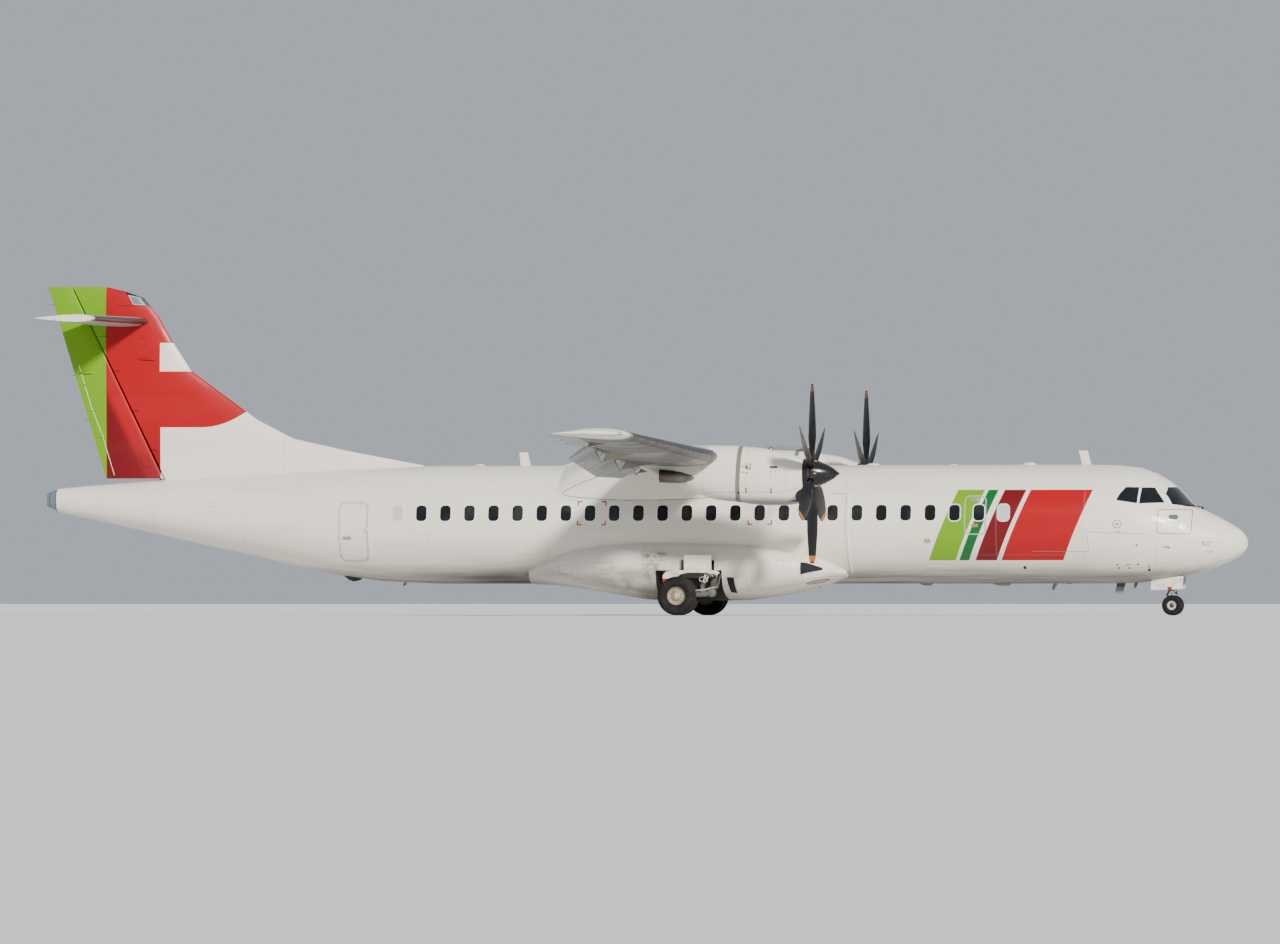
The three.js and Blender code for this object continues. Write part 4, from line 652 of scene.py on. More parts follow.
class Shape:
    """Rings of points and the faces between them, which become one piece that rides on a body."""

    def __init__(self, name, look, slot, body="airframe"):
        self.name = name
        self.look = look
        self.slot = slot
        self.body = body
        self.points = []
        self.faces = []
        self.stands_for = None
        SHAPES.append(self)

    def ring(self, points):
        start = len(self.points)
        self.points.extend(Vector(point) for point in points)
        return list(range(start, start + len(points)))

    def skinned(self, rings, capped=True, closed=False):
        """Joins each ring to the next. A closed run joins the last ring to the first."""
        runs = [self.ring(points) for points in rings]
        pairs = list(zip(runs, runs[1:]))
        if closed:
            pairs.append((runs[-1], runs[0]))
        for one, two in pairs:
            count = len(one)
            for i in range(count):
                j = (i + 1) % count
                self.faces.append((one[i], one[j], two[j], two[i]))
        if capped and not closed:
            self.faces.append(tuple(reversed(runs[0])))
            self.faces.append(tuple(runs[-1]))

    def pipe(self, path, radii, sides=8, closed=False):
        """A round bar along a path. One radius serves the whole path."""
        path = [Vector(point) for point in path]
        radii = radii if isinstance(radii, (list, tuple)) else [radii] * len(path)
        rings = []
        across = None
        for i, point in enumerate(path):
            ahead = path[(i + 1) % len(path)] if closed or i + 1 < len(path) else point
            behind = path[i - 1] if closed or i > 0 else point
            along = (ahead - behind).normalized()
            if across is None:
                across = along.orthogonal().normalized()
            across = (across - along * across.dot(along)).normalized()
            upward = along.cross(across)
            rings.append([
                point + radii[i] * (math.cos(turn) * across + math.sin(turn) * upward)
                for turn in circle(sides)])
        self.skinned(rings, closed=closed)

    def turned(self, centre, axis, profile, sides=20):
        """A lathe form: profile pairs are (distance along the axis, radius)."""
        centre = Vector(centre)
        axis = Vector(axis).normalized()
        across = axis.orthogonal().normalized()
        upward = axis.cross(across)
        self.skinned([[
            centre + axis * along + max(radius, 0.0004) * (math.cos(turn) * across + math.sin(turn) * upward)
            for turn in circle(sides)]
            for along, radius in profile])

    def slab(self, outline, out, thickness):
        """A flat plate: an outline of points, thickened along out, with eased edges."""
        outline = [Vector(point) for point in outline]
        middle = sum(outline, Vector()) / len(outline)
        out = Vector(out).normalized() * thickness
        eased = [point.lerp(middle, 0.03) for point in outline]
        self.skinned([
            eased,
            [point + out * 0.2 for point in outline],
            [point + out * 0.8 for point in outline],
            [point + out for point in eased]])

    def fit(self):
        """Turns the gathered rings into an object that rides on its body."""
        mesh = bpy.data.meshes.new(self.name)
        mesh.from_pydata([tuple(point) for point in self.points], [], self.faces)
        made = bmesh.new()
        made.from_mesh(mesh)
        bmesh.ops.recalc_face_normals(made, faces=made.faces)
        made.to_mesh(mesh)
        made.free()
        mesh.polygons.foreach_set("use_smooth", [True] * len(mesh.polygons))
        mesh.set_sharp_from_angle(angle=SMOOTH_ANGLE)
        mesh.materials.append(self.look)
        thing = bpy.data.objects.new(self.name, mesh)
        bpy.context.scene.collection.objects.link(thing)
        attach(thing, self.body)
        if self.stands_for:
            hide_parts(self.stands_for)
        return thing


def fit_shapes():
    """Fits every shape that was made since the last time, and prints their names."""
    fitted = [shape.fit() for shape in SHAPES]
    SHAPES.clear()
    print("fitted:", ", ".join(thing.name for thing in fitted))
    return fitted


# %% Search trees and sections of the CAD solids
def skin_of(*names):
    """A search tree over the surface of some CAD nodes."""
    points = []
    faces = []
    for name in names:
        start = len(points)
        mesh = nodes[name].data
        points.extend(vertex.co.copy() for vertex in mesh.vertices)
        faces.extend([start + i for i in polygon.vertices] for polygon in mesh.polygons)
    return BVHTree.FromPolygons(points, faces)


def section_at(node, axis, place):
    """Where a node's surface crosses the plane axis = place, as points on its edges."""
    mesh = nodes[node].data
    found = []
    for edge in mesh.edges:
        a = mesh.vertices[edge.vertices[0]].co
        b = mesh.vertices[edge.vertices[1]].co
        if (a[axis] - place) * (b[axis] - place) < 0:
            found.append(a.lerp(b, (place - a[axis]) / (b[axis] - a[axis])))
    return found


# %% The radome, rounded where the solid has flats
RADOME_STEPS = 26
RADOME_SIDES = 72
RADOME_EASE = 3


def way_out(tip, turn, thinnest=0.0):
    """A direction that leans from the nose by tip, turned round the X axis."""
    wide = max(math.sin(tip), thinnest)
    return Vector((math.cos(tip), wide * math.cos(turn), wide * math.sin(turn)))


def rounded_radome():
    """The radome as reaches from the middle of its joint, averaged over neighbouring directions."""
    low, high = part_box("radome")
    heights = [point.z for point in section_at("radome", 0, low.x + 0.002)]
    middle = Vector((low.x - 0.001, 0, (max(heights) + min(heights)) / 2))
    tree = skin_of("radome")
    tips = [math.pi / 2 * (1 - step / RADOME_STEPS) for step in range(RADOME_STEPS + 1)]
    start = middle + Vector((0.002, 0, 0))
    reaches = [
        [(tree.ray_cast(start, way_out(tip, turn))[0] - middle).length for turn in circle(RADOME_SIDES)]
        for tip in tips]
    rings = []
    for step, tip in enumerate(tips):
        span = min(step, RADOME_EASE)
        ring = []
        for k, turn in enumerate(circle(RADOME_SIDES)):
            total = 0.0
            for near in range(step - span, step + span + 1):
                over_the_tip = near > RADOME_STEPS
                row = reaches[2 * RADOME_STEPS - near if over_the_tip else near]
                total += row[(k + (RADOME_SIDES // 2 if over_the_tip else 0)) % RADOME_SIDES]
            ring.append(middle + way_out(tip, turn, 0.0005) * (total / (2 * span + 1)))
        rings.append(ring)
    stretch = (high.x - middle.x) / (max(point.x for ring in rings for point in ring) - middle.x)
    for ring in rings:
        for point in ring:
            point.x = middle.x + (point.x - middle.x) * stretch
    return rings


shell = Shape("radome_rounded", SKIN, "white_composite")
shell.skinned(rounded_radome())
shell.stands_for = "radome"
nodes["radome"] = fit_shapes()[0]

# %% Outlines in the plane of the view
def rounded(u, v, width, height, corner, steps=5):
    """A rectangle with round corners, as points about (u, v)."""
    points = []
    for quarter in range(4):
        turn = quarter * math.pi / 2
        side_u = width / 2 - corner if quarter in (0, 3) else corner - width / 2
        side_v = height / 2 - corner if quarter in (0, 1) else corner - height / 2
        for step in range(steps):
            angle = turn + (math.pi / 2) * step / (steps - 1)
            points.append((u + side_u + corner * math.cos(angle), v + side_v + corner * math.sin(angle)))
    return points


def disc(u, v, radius, count=16):
    return [(u + radius * math.cos(turn), v + radius * math.sin(turn)) for turn in circle(count)]


def middle_of(outline):
    return [sum(side) / len(outline) for side in zip(*outline)]


def scaled(outline, share):
    middle_u, middle_v = middle_of(outline)
    return [(middle_u + (u - middle_u) * share, middle_v + (v - middle_v) * share) for u, v in outline]


def offset(outline, by):
    """Moves each side of an outline inward by a distance."""
    moved = []
    count = len(outline)
    area = sum(outline[i - 1][0] * v - u * outline[i - 1][1] for i, (u, v) in enumerate(outline))
    by = math.copysign(by, area * by)
    for i, (u, v) in enumerate(outline):
        u0, v0 = outline[i - 1]
        u1, v1 = outline[(i + 1) % count]
        before = Vector((v0 - v, u - u0)).normalized()
        after = Vector((v - v1, u1 - u)).normalized()
        inward = before + after
        inward = inward / max(inward.length_squared / 2, 0.5)
        moved.append((u + inward.x * by, v + inward.y * by))
    return moved


def divided(path, spacing):
    """The same path with points no further apart than the skin's curve allows, less its last one."""
    points = []
    for (u0, v0), (u1, v1) in zip(path, path[1:]):
        steps = max(1, math.ceil(math.hypot(u1 - u0, v1 - v0) / spacing))
        points.extend((u0 + (u1 - u0) * i / steps, v0 + (v1 - v0) * i / steps) for i in range(steps))
    return points


# %% Laying outlines on a skin
POINT_SPACING = 0.045
SUNK = -0.002
VIEWS = {
    # where the eye stands, which way it looks, and how (u, v) becomes a point
    "starboard": (lambda u, v: Vector((u, -9, v)), Vector((0, 1, 0))),
    "port": (lambda u, v: Vector((u, 9, v)), Vector((0, -1, 0))),
    "above": (lambda u, v: Vector((u, v, 9)), Vector((0, 0, -1))),
    "ahead": (lambda u, v: Vector((16, u, v)), Vector((-1, 0, 0))),
    "within port": (lambda u, v: Vector((u, 0, v)), Vector((0, 1, 0))),
    "within starboard": (lambda u, v: Vector((u, 0, v)), Vector((0, -1, 0))),
}
SIDES = {"starboard": -1, "port": 1}


class Surface:
    """A surface seen one way, on which flat outlines are laid."""

    def __init__(self, tree, view):
        self.tree = tree
        self.view = view

    def at(self, u, v, lift=0.0):
        """The point of the skin under (u, v), lifted off it along its normal."""
        eye, direction = VIEWS[self.view]
        place, normal, _, _ = self.tree.ray_cast(eye(u, v), direction)
        if place is None:
            raise ValueError(f"nothing under {u:.2f}, {v:.2f} from {self.view}")
        if normal.dot(direction) > 0:
            normal = -normal
        return place + normal * lift

    def rim(self, shape, outline, width, height=0.003):
        """A raised rim round an outline: it rises from the skin, runs level, and falls inside."""
        outline = divided(outline + outline[:1], POINT_SPACING)
        steps = [(0.0, SUNK), (width * 0.2, height), (width * 0.8, height), (width, SUNK)]
        rings = [[self.at(u, v, lift) for u, v in offset(outline, by)] for by, lift in steps]
        shape.skinned(rings, closed=True)

    def strip(self, shape, path, width, height=0.003):
        """A thin raised ribbon along an open path."""
        places = divided(path, POINT_SPACING) + path[-1:]
        rings = []
        for i, (u, v) in enumerate(places):
            before = Vector(places[max(i - 1, 0)])
            after = Vector(places[min(i + 1, len(places) - 1)])
            along = (after - before).normalized()
            across = Vector((-along.y, along.x))
            rings.append([self.at(u + across.x * by, v + across.y * by, lift) for by, lift in (
                (-width / 2, SUNK), (-width / 3, height), (width / 3, height), (width / 2, SUNK))])
        shape.skinned(rings)

    def patch(self, shape, outline, lift=0.003, spacing=POINT_SPACING):
        """A thin sheet, filled by outlines that shrink towards its middle."""
        outline = divided(outline + outline[:1], spacing)
        middle_u, middle_v = middle_of(outline)
        reach = max(math.hypot(u - middle_u, v - middle_v) for u, v in outline)
        steps = max(2, math.ceil(reach / spacing))
        rings = [[self.at(u, v, SUNK) for u, v in outline]]
        for share in [1 - 0.92 * step / steps for step in range(steps + 1)]:
            rings.append([self.at(u, v, lift) for u, v in scaled(outline, share)])
        shape.skinned(rings)


BODY_TREE = skin_of("fuselage_nose", "fuselage_centre", "fuselage_rear", "radome", "passenger_door",
                    "cargo_door", "service_door")

# %% [markdown]
# ## Cabin windows
# Twenty-six places for a window run along each side at the pitch of the frames. The first and the
# last are blanked with a pale plate. Each pane sits in a pale rim a few millimetres proud. A hole
# cut in the CAD skin would give the recess, but the rim's own height reads the same from outside.

# %% Panes and rims along both sides
WINDOW_LEVEL = 2.272
WINDOW_FIRST_X = 8.31
WINDOW_PITCH = 0.5448
WINDOW_PLACES = 26
WINDOW_WIDTH = 0.235
WINDOW_HEIGHT = 0.345
RIM_WIDTH = 0.028
RIM = plain("rim_paint", (0.86, 0.85, 0.82), 0.35, ((0.45, 0.43, 0.40), 0.4, (14, 3.0), 0.5, 0.8),
            coat=(0.3, 0.2))
BLANK = plain("blank_paint", (0.55, 0.55, 0.54), 0.35, ((0.36, 0.36, 0.36), 0.4, (9, 3.0), 0.45, 0.8),
              coat=(0.3, 0.2))
panes = Shape("cabin_window_panes", PANE, "cockpit_glass")
rims = Shape("cabin_window_rims", RIM, "white_paint")
blanks = Shape("blanked_windows", BLANK, "white_paint")
for view in SIDES:
    body = Surface(BODY_TREE, view)
    for place in range(WINDOW_PLACES):
        x = WINDOW_FIRST_X - WINDOW_PITCH * place
        blanked = place in (0, WINDOW_PLACES - 1)
        body.rim(rims, rounded(x, WINDOW_LEVEL, WINDOW_WIDTH + 2 * RIM_WIDTH, WINDOW_HEIGHT + 2 * RIM_WIDTH,
                               0.105), RIM_WIDTH, 0.008)
        body.patch(blanks if blanked else panes,
                   rounded(x, WINDOW_LEVEL, WINDOW_WIDTH, WINDOW_HEIGHT, 0.085))
fit_shapes()

# %% [markdown]
# ## Cockpit window frames and wipers
# Each cockpit pane is held in a metal frame with a dark rubber bead, and a stout white post stands
# between the two side panes. The frames follow the outlines of the CAD panes, and are laid on them
# and the skin as raised rims, which need no joint with either. A wiper is an arm on a spindle and a
# blade that lies along the lower edge of the windscreen.

# %% Frames, posts, beads and wipers of the cockpit glass
SIDE_GLASS = [(10.79, 2.53), (10.86, 2.68), (11.0, 2.85), (11.59, 2.84), (11.84, 2.48), (11.27, 2.46)]
FRONT_GLASS = [(0.045, 2.40), (0.045, 2.84), (0.52, 2.835), (0.735, 2.68), (0.81, 2.45), (0.52, 2.40)]
POST = [(11.245, 2.455), (11.285, 2.455), (11.33, 2.84), (11.275, 2.845)]
GLASS_TREE = skin_of("fuselage_nose", "radome", "side_windows_left", "side_windows_right",
                     "windscreen_left", "windscreen_right")
RUBBER = plain("seal_rubber", (0.018, 0.018, 0.018), 0.6, ((0.06, 0.055, 0.05), 0.4, (18, 3.0), 0.5, 0.8),
               relief=(80, 2.0, 0.0003))
SATIN = plain("satin_black", (0.02, 0.02, 0.022), 0.45, ((0.10, 0.09, 0.08), 0.4, (30, 3.0), 0.5, 0.75),
              metallic=0.3)
posts = Shape("cockpit_window_frames", RIM, "white_paint")
beads = Shape("cockpit_window_beads", RUBBER, "black_paint")
wipers = Shape("windscreen_wipers", SATIN, "black_paint")
ahead = Surface(GLASS_TREE, "ahead")
for view, side in SIDES.items():
    beside = Surface(GLASS_TREE, view)
    beside.rim(posts, scaled(SIDE_GLASS, 1.10), 0.034, 0.006)
    beside.rim(beads, scaled(SIDE_GLASS, 1.015), 0.014, 0.004)
    beside.patch(posts, POST, 0.008)
    front = [(side * u, v) for u, v in FRONT_GLASS]
    ahead.rim(posts, scaled(front, 1.09), 0.03, 0.006)
    ahead.rim(beads, scaled(front, 1.015), 0.014, 0.004)
    wipers.pipe([ahead.at(side * y, z, lift) for y, z, lift in
                 ((0.10, 2.35, 0.01), (0.12, 2.37, 0.035), (0.30, 2.385, 0.035), (0.48, 2.42, 0.03))],
                [0.016, 0.013, 0.010, 0.007])
    wipers.pipe([ahead.at(side * y, 2.425 + (y - 0.2) * 0.03, 0.016)
                 for y in (0.16, 0.28, 0.40, 0.52, 0.64, 0.72)], 0.009, 6)
fit_shapes()

# %% [markdown]
# ## Doors, exits and marks on the body
# The two doors and the cargo door are CAD pieces with real gaps round them. The forward exits are
# plugs that lift out, so only their outlines show. Every door has a flush handle in a shallow
# pan, and plain red corner marks stand round the two places where rescuers may cut in. They are
# thin laid sheets: paint in the skin's own shader would blur where a line is only 7 mm wide.

# %% Outlines, handles and corner marks
GREY_LINE = plain("grey_line_paint", (0.17, 0.16, 0.15), 0.4,
                  ((0.34, 0.33, 0.31), 0.4, (20, 3.0), 0.5, 0.8))
RED_MARK = plain("red_mark_paint", (0.30, 0.0, 0.006), 0.4,
                 ((0.45, 0.12, 0.1), 0.4, (25, 3.0), 0.55, 0.8))
ORANGE_MARK = plain("orange_mark", (0.80, 0.26, 0.02), 0.4,
                    ((0.40, 0.13, 0.02), 0.4, (40, 3.0), 0.5, 0.75))
EXIT_GREY = plain("exit_outline_grey", (0.36, 0.38, 0.33), 0.4,
                  ((0.27, 0.28, 0.25), 0.4, (20, 3.0), 0.5, 0.8))
BRIGHT = plain("bright_metal", (0.62, 0.61, 0.58), 0.28, ((0.35, 0.33, 0.30), 0.5, (16, 4.0), 0.45, 0.75),
               wear=(40, 3.0, 0.25), metallic=1.0)
DOORS = {
    # body: side, hull node, x, sill, width, height
    "service_door": ("starboard", "fuselage_rear", -6.325, 1.23, 0.61, 1.27),
    "passenger_door": ("port", "fuselage_rear", -6.45, 1.20, 0.82, 1.75),
    "cargo_door": ("port", "fuselage_centre", 9.19, 1.15, 1.275, 1.53),
}
OUTLINE_STANDS_OFF = {"service_door": 0.04, "passenger_door": 0.055, "cargo_door": 0.04}
EXIT = (7.68, 2.22, 0.50, 0.88)
DOOR_CORNER = 0.13
HANDLE_BAR = [
    # along, height over the skin
    (-0.075, 0.004), (-0.06, 0.012), (0.0, 0.014), (0.06, 0.012), (0.075, 0.004),
]
HANDLES = [
    # side, body, x, z
    ("starboard", "service_door", -6.47, 1.72),
    ("port", "passenger_door", -6.20, 1.95),
    ("port", "cargo_door", 9.19, 1.38),
    ("starboard", "airframe", 7.68, 2.56),
    ("port", "airframe", 7.68, 2.56),
]
CUT_MARKS = [
    # left, right, bottom, top
    (-1.24, -0.59, 2.00, 2.54),
    (2.60, 3.15, 2.01, 2.57),
]
MARK_LENGTH = 0.105
MARK_WIDTH = 0.026
ROOT_TREE = skin_of("fuselage_centre", "wing_fairing", "fuselage_rear")
for view, body, x, z in HANDLES:
    name = f"handle_{body}_{view}" if body == "airframe" else f"handle_{body}"
    pan = Shape(name, BRIGHT, "wheel_metal", body)
    beside = Surface(BODY_TREE, view)
    plate = rounded(x, z, 0.20, 0.085, 0.02)
    beside.patch(pan, plate, 0.002)
    beside.rim(pan, plate, 0.008, 0.004)
    pan.pipe([beside.at(x + along, z, lift) for along, lift in HANDLE_BAR], 0.008)
seals = Shape("door_outlines", GREY_LINE, "white_paint")
for name, (view, _, x, sill, width, height) in DOORS.items():
    gap = OUTLINE_STANDS_OFF[name]
    line = rounded(x, sill + height / 2, width + 2 * gap, height + 2 * gap, DOOR_CORNER + gap)
    Surface(BODY_TREE, view).rim(seals, line, 0.012)
exit_lines = Shape("exit_outlines", EXIT_GREY, "grey_paint")
marks = Shape("cut_in_marks", RED_MARK, "red_composite")
for view in SIDES:
    Surface(BODY_TREE, view).rim(exit_lines, rounded(*EXIT, DOOR_CORNER), 0.034)
    for left, right, bottom, top in CUT_MARKS:
        for x, into_x in ((left, 1), (right, -1)):
            for z, into_z in ((bottom, 1), (top, -1)):
                level = rounded(x + into_x * MARK_LENGTH / 2, z + into_z * MARK_WIDTH / 2,
                                MARK_LENGTH, MARK_WIDTH, 0.002, 2)
                upright = rounded(x + into_x * MARK_WIDTH / 2, z + into_z * (MARK_LENGTH + MARK_WIDTH) / 2,
                                  MARK_WIDTH, MARK_LENGTH - MARK_WIDTH, 0.002, 2)
                for bar in (level, upright):
                    Surface(ROOT_TREE, view).patch(marks, bar)
fit_shapes()

# %% [markdown]
# ## Doorways and stairs
# An open door shows its own inner face and the doorway behind it. The passenger door drops on a
# hinge at its foot and carries the stairs, so its inner face has ribbed treads between two metal
# strings. The doorways have a pale lining and a middle of painted shade for the dark cabin, laid 6 mm
# high at most, because the closed leaf comes within 12 mm of them. Cutting a real cabin would need
# pieces that the closed aeroplane never shows.

# %% Linings of the doorways, and what the doors carry inside
LINING = plain("cabin_lining", (0.38, 0.36, 0.32), 0.6, ((0.24, 0.22, 0.19), 0.4, (5, 4.0), 0.45, 0.75),
               relief=(180, 2.0, 0.0002))
CABIN_SHADE = plain("cabin_painted_shade", (0.022, 0.022, 0.024), 0.7,
                   ((0.05, 0.048, 0.045), 0.5, (3, 3.0), 0.4, 0.8))
ribbed = Finish("stair_tread", (0.05, 0.05, 0.052), 0.75)
ribbed.raise_by(ribbed.x.from_multiple(0.02).fall(0.003, 0.006) * 0.001)
ribbed.stain((0.13, 0.12, 0.10), 0.6, (12, 4.0), 0.45, 0.7)
TREAD = ribbed.done()
BAR_SHARES = (0.25, 0.5, 0.75)
BAR_INSET = 0.13
linings = Shape("doorway_linings", LINING, "white_paint")
middles = Shape("doorway_middles", CABIN_SHADE, "black_paint")
for name, (view, hull, x, sill, width, height) in DOORS.items():
    doorway = Surface(skin_of(hull), view)
    middle = sill + height / 2
    doorway.patch(linings, rounded(x, middle + 0.02, width - 0.10, height - 0.16, 0.11), 0.003, 0.03)
    # Painted shade: a near-black sheet in each doorway stands for the unlit cabin.
    doorway.patch(middles, rounded(x, middle + 0.02, width - 0.26, height - 0.32, 0.10), 0.0055, 0.03)
    if name == "passenger_door":
        continue
    leaf = Surface(skin_of(name), f"within {view}")
    panel = Shape(f"inner_panel_{name}", LINING, "white_paint", name)
    leaf.patch(panel, rounded(x, middle, width - 0.20, height - 0.24, 0.10))
    bars = Shape(f"inner_bars_{name}", BRIGHT, "wheel_metal", name)
    for share in BAR_SHARES:
        z = sill + height * share
        leaf.strip(bars, [(x - width / 2 + BAR_INSET, z), (x + width / 2 - BAR_INSET, z)], 0.03, 0.006)
fit_shapes()

# %% Stairs on the passenger door
STAIR_X = -6.45
STAIR_LEVELS = (1.46, 1.70, 1.94, 2.18, 2.42, 2.66)
treads = Shape("stair_treads", TREAD, "tyre_rubber", "passenger_door")
nosings = Shape("stair_nosings", ORANGE_MARK, "red_composite", "passenger_door")
strings = Shape("stair_strings", BRIGHT, "wheel_metal", "passenger_door")
leaf = Surface(skin_of("passenger_door"), "within port")
for z in STAIR_LEVELS:
    leaf.patch(treads, rounded(STAIR_X, z, 0.50, 0.15, 0.02, 3))
    leaf.strip(nosings, [(STAIR_X - 0.25, z + 0.09), (STAIR_X + 0.25, z + 0.09)], 0.022, 0.004)
for side in (-1, 1):
    leaf.strip(strings, [(STAIR_X + side * 0.30, 1.36), (STAIR_X + side * 0.30, 2.78)], 0.04, 0.004)
fit_shapes()

# %% Wing root fairing edge, plates and small marks
ROOT_FAIRING_EDGE = [
    (-0.5, 3.15), (-0.78, 3.08), (-1.11, 2.97), (-1.44, 2.83), (-1.60, 2.74), (-1.59, 2.69), (-1.43, 2.64),
    (-0.72, 2.58), (-0.18, 2.56), (0.48, 2.565), (1.19, 2.58), (1.95, 2.635), (2.72, 2.73), (3.53, 2.87)]
ICE_PLATE_EDGE = [(4.45, 2.70), (4.79, 2.69), (4.82, 0.95)]
NOSE_LAP = [(8.95, 1.42), (10.20, 1.41), (10.17, 1.84), (11.43, 1.80)]
LAMP_X = 6.61
LAMP_Z = 1.65
lamp_glass = Finish("inspection_lamp_glass", (0.50, 0.44, 0.32), 0.12, 0.5, coat=(0.6, 0.05))
lamp_glass.lay(abs(lamp_glass.x - LAMP_X).rise(0.03, 0.06) * 0.7, (0.12, 0.10, 0.08))
LAMP_GLASS = lamp_glass.done()
TAN_PLATE = plain("tan_plate", (0.30, 0.20, 0.06), 0.4, ((0.18, 0.11, 0.04), 0.5, (60, 3.0), 0.5, 0.7))
edges = Shape("root_fairing_edges", GREY_LINE, "grey_composite")
outlines = Shape("blank_plate_outlines", RED_MARK, "red_composite")
straps = Shape("body_straps", RIM, "white_paint")
drains = Shape("body_drains", SATIN, "black_paint")
lamps = Shape("wing_inspection_lamps", LAMP_GLASS, "cockpit_glass")
lamp_rims = Shape("wing_inspection_lamp_rims", BRIGHT, "wheel_metal")
labels = Shape("blank_exit_plates", TAN_PLATE, "grey_composite")
for view in SIDES:
    body = Surface(BODY_TREE, view)
    root = Surface(ROOT_TREE, view)
    root.strip(edges, ROOT_FAIRING_EDGE, 0.020)
    body.strip(edges, ICE_PLATE_EDGE, 0.012)
    body.strip(edges, NOSE_LAP, 0.010)
    body.strip(straps, [(4.835, 2.69), (4.865, 0.95)], 0.035, 0.004)
    root.patch(drains, disc(1.58, 2.89, 0.035))
    body.patch(drains, disc(8.74, 1.06, 0.035))
    body.patch(lamps, rounded(LAMP_X, LAMP_Z, 0.13, 0.085, 0.035, 4), 0.004)
    body.rim(lamp_rims, rounded(LAMP_X, LAMP_Z, 0.15, 0.105, 0.045, 4), 0.014, 0.006)
    body.patch(labels, rounded(7.675, 1.99, 0.15, 0.075, 0.01, 3))
    body.rim(outlines, rounded(-9.71, 2.475, 0.26, 0.08, 0.012, 3), 0.006)
fit_shapes()

# %% Nose: probes, vents, lamps and covers
GREY_GLASS = plain("grey_glass", (0.10, 0.105, 0.125), 0.2, ((0.17, 0.17, 0.18), 0.5, (14, 3.0), 0.4, 0.7),
                   coat=(0.3, 0.1))
NOSE_PROBES = [
    # x, z, length
    (12.66, 1.62, 0.22),
    (12.98, 1.21, 0.14),
]
STATIC_PORTS = [
    # x, z, radius
    (10.83, 2.02, 0.05),
    (11.25, 1.55, 0.03),
]
RED_OUTLINES = [
    # outline, line width
    (rounded(12.785, 1.41, 0.17, 0.035, 0.008, 3), 0.008),
    (rounded(10.85, 1.845, 0.11, 0.03, 0.006, 3), 0.008),
    (rounded(12.06, 2.07, 0.74, 0.55, 0.07), 0.018),
    (disc(10.83, 2.02, 0.10), 0.020),
]
VENTS = [(10.8, 1.12), (10.83, 1.05), (11.03, 1.12), (11.05, 1.05), (11.25, 1.13)]
RADOME_STRAP = [(12.95, 1.20), (13.10, 1.25), (13.25, 1.33), (13.36, 1.42)]
VANE_PLATE = [(0.02, 0.012), (-0.10, 0.016), (-0.10, -0.004), (0.02, -0.012)]
covers = Shape("nose_probes_and_covers", BRIGHT, "wheel_metal")
ports = Shape("nose_ports", SATIN, "black_paint")
oval_panes = Shape("nose_oval_panes", GREY_GLASS, "cockpit_glass")
cream = Shape("nose_discs_and_strips", RIM, "white_composite")
red_lines = Shape("nose_outlines", RED_MARK, "red_composite")
fillers = Shape("nose_filler_marks", ORANGE_MARK, "red_composite")
for view, side in SIDES.items():
    body = Surface(BODY_TREE, view)
    for x, z, length in NOSE_PROBES:
        foot = body.at(x, z)
        stand = foot + Vector((0.03, side * 0.07, 0))
        covers.pipe([foot - Vector((0, side * 0.01, 0)), foot + Vector((0.01, side * 0.03, 0)), stand,
                     stand + Vector((length * 0.5, 0, 0)), stand + Vector((length, 0, 0))],
                    [0.020, 0.014, 0.011, 0.010, 0.006])
    foot = body.at(11.95, 1.52)
    covers.turned(foot, (0, side, 0), [(-0.01, 0.045), (0.004, 0.045), (0.008, 0.038)])
    covers.slab([foot + Vector((dx, side * 0.006, dz)) for dx, dz in VANE_PLATE], (0, side, 0), 0.05)
    for x, z, radius in STATIC_PORTS:
        body.patch(covers, disc(x, z, radius), 0.002)
        body.patch(ports, disc(x, z, radius * 0.4, 10), 0.0035)
    body.patch(oval_panes, rounded(12.03, 2.17, 0.20, 0.11, 0.054), 0.002)
    body.rim(covers, rounded(12.03, 2.17, 0.24, 0.15, 0.07), 0.02, 0.005)
    body.patch(cream, disc(12.23, 1.97, 0.055), 0.0055, 0.014)
    body.rim(covers, disc(12.23, 1.97, 0.062), 0.014, 0.006)
    body.strip(cream, RADOME_STRAP, 0.020, 0.005)
    for outline, width in RED_OUTLINES:
        body.rim(red_lines, outline, width)
    for x, z in VENTS:
        body.patch(ports, rounded(x, z, 0.05, 0.022, 0.008, 3))
    body.patch(ports, disc(11.48, 1.01, 0.03, 12))
    body.patch(fillers, disc(11.48, 1.085, 0.03, 12))
fit_shapes()

# %% [markdown]
# ## Roof, belly and sponsons
# Aerial fairings, drain masts, beacons and scoops are small cast or moulded lumps. Each is a run of
# oval rings that swells and shrinks, because a lump that meets the skin in a clean oval looks cast
# on. The sponson's forward inlet is a triangle of painted shade with a pale lip, and its lamp is a slit.

# %% Lumps, masts and the tail bumper
def teardrop(shape, centre, length, width, height, out=(0, 0, 1), steps=9, sides=14):
    """A low fairing: oval sections along X, full forward and drawn out aft, sunk into the skin."""
    centre = Vector(centre)
    out = Vector(out)
    across = Vector((1, 0, 0)).cross(out)
    rings = []
    for step in range(steps):
        share = step / (steps - 1)
        swell = math.sin(math.pi * share ** 0.72) ** 0.6 if 0 < share < 1 else 0.03
        middle = centre + Vector((length * (0.5 - share), 0, 0))
        rings.append([
            middle + across * (0.5 * width * swell * math.cos(turn)) + out * (height * swell * math.sin(turn))
            for turn in circle(sides)])
    shape.skinned(rings)


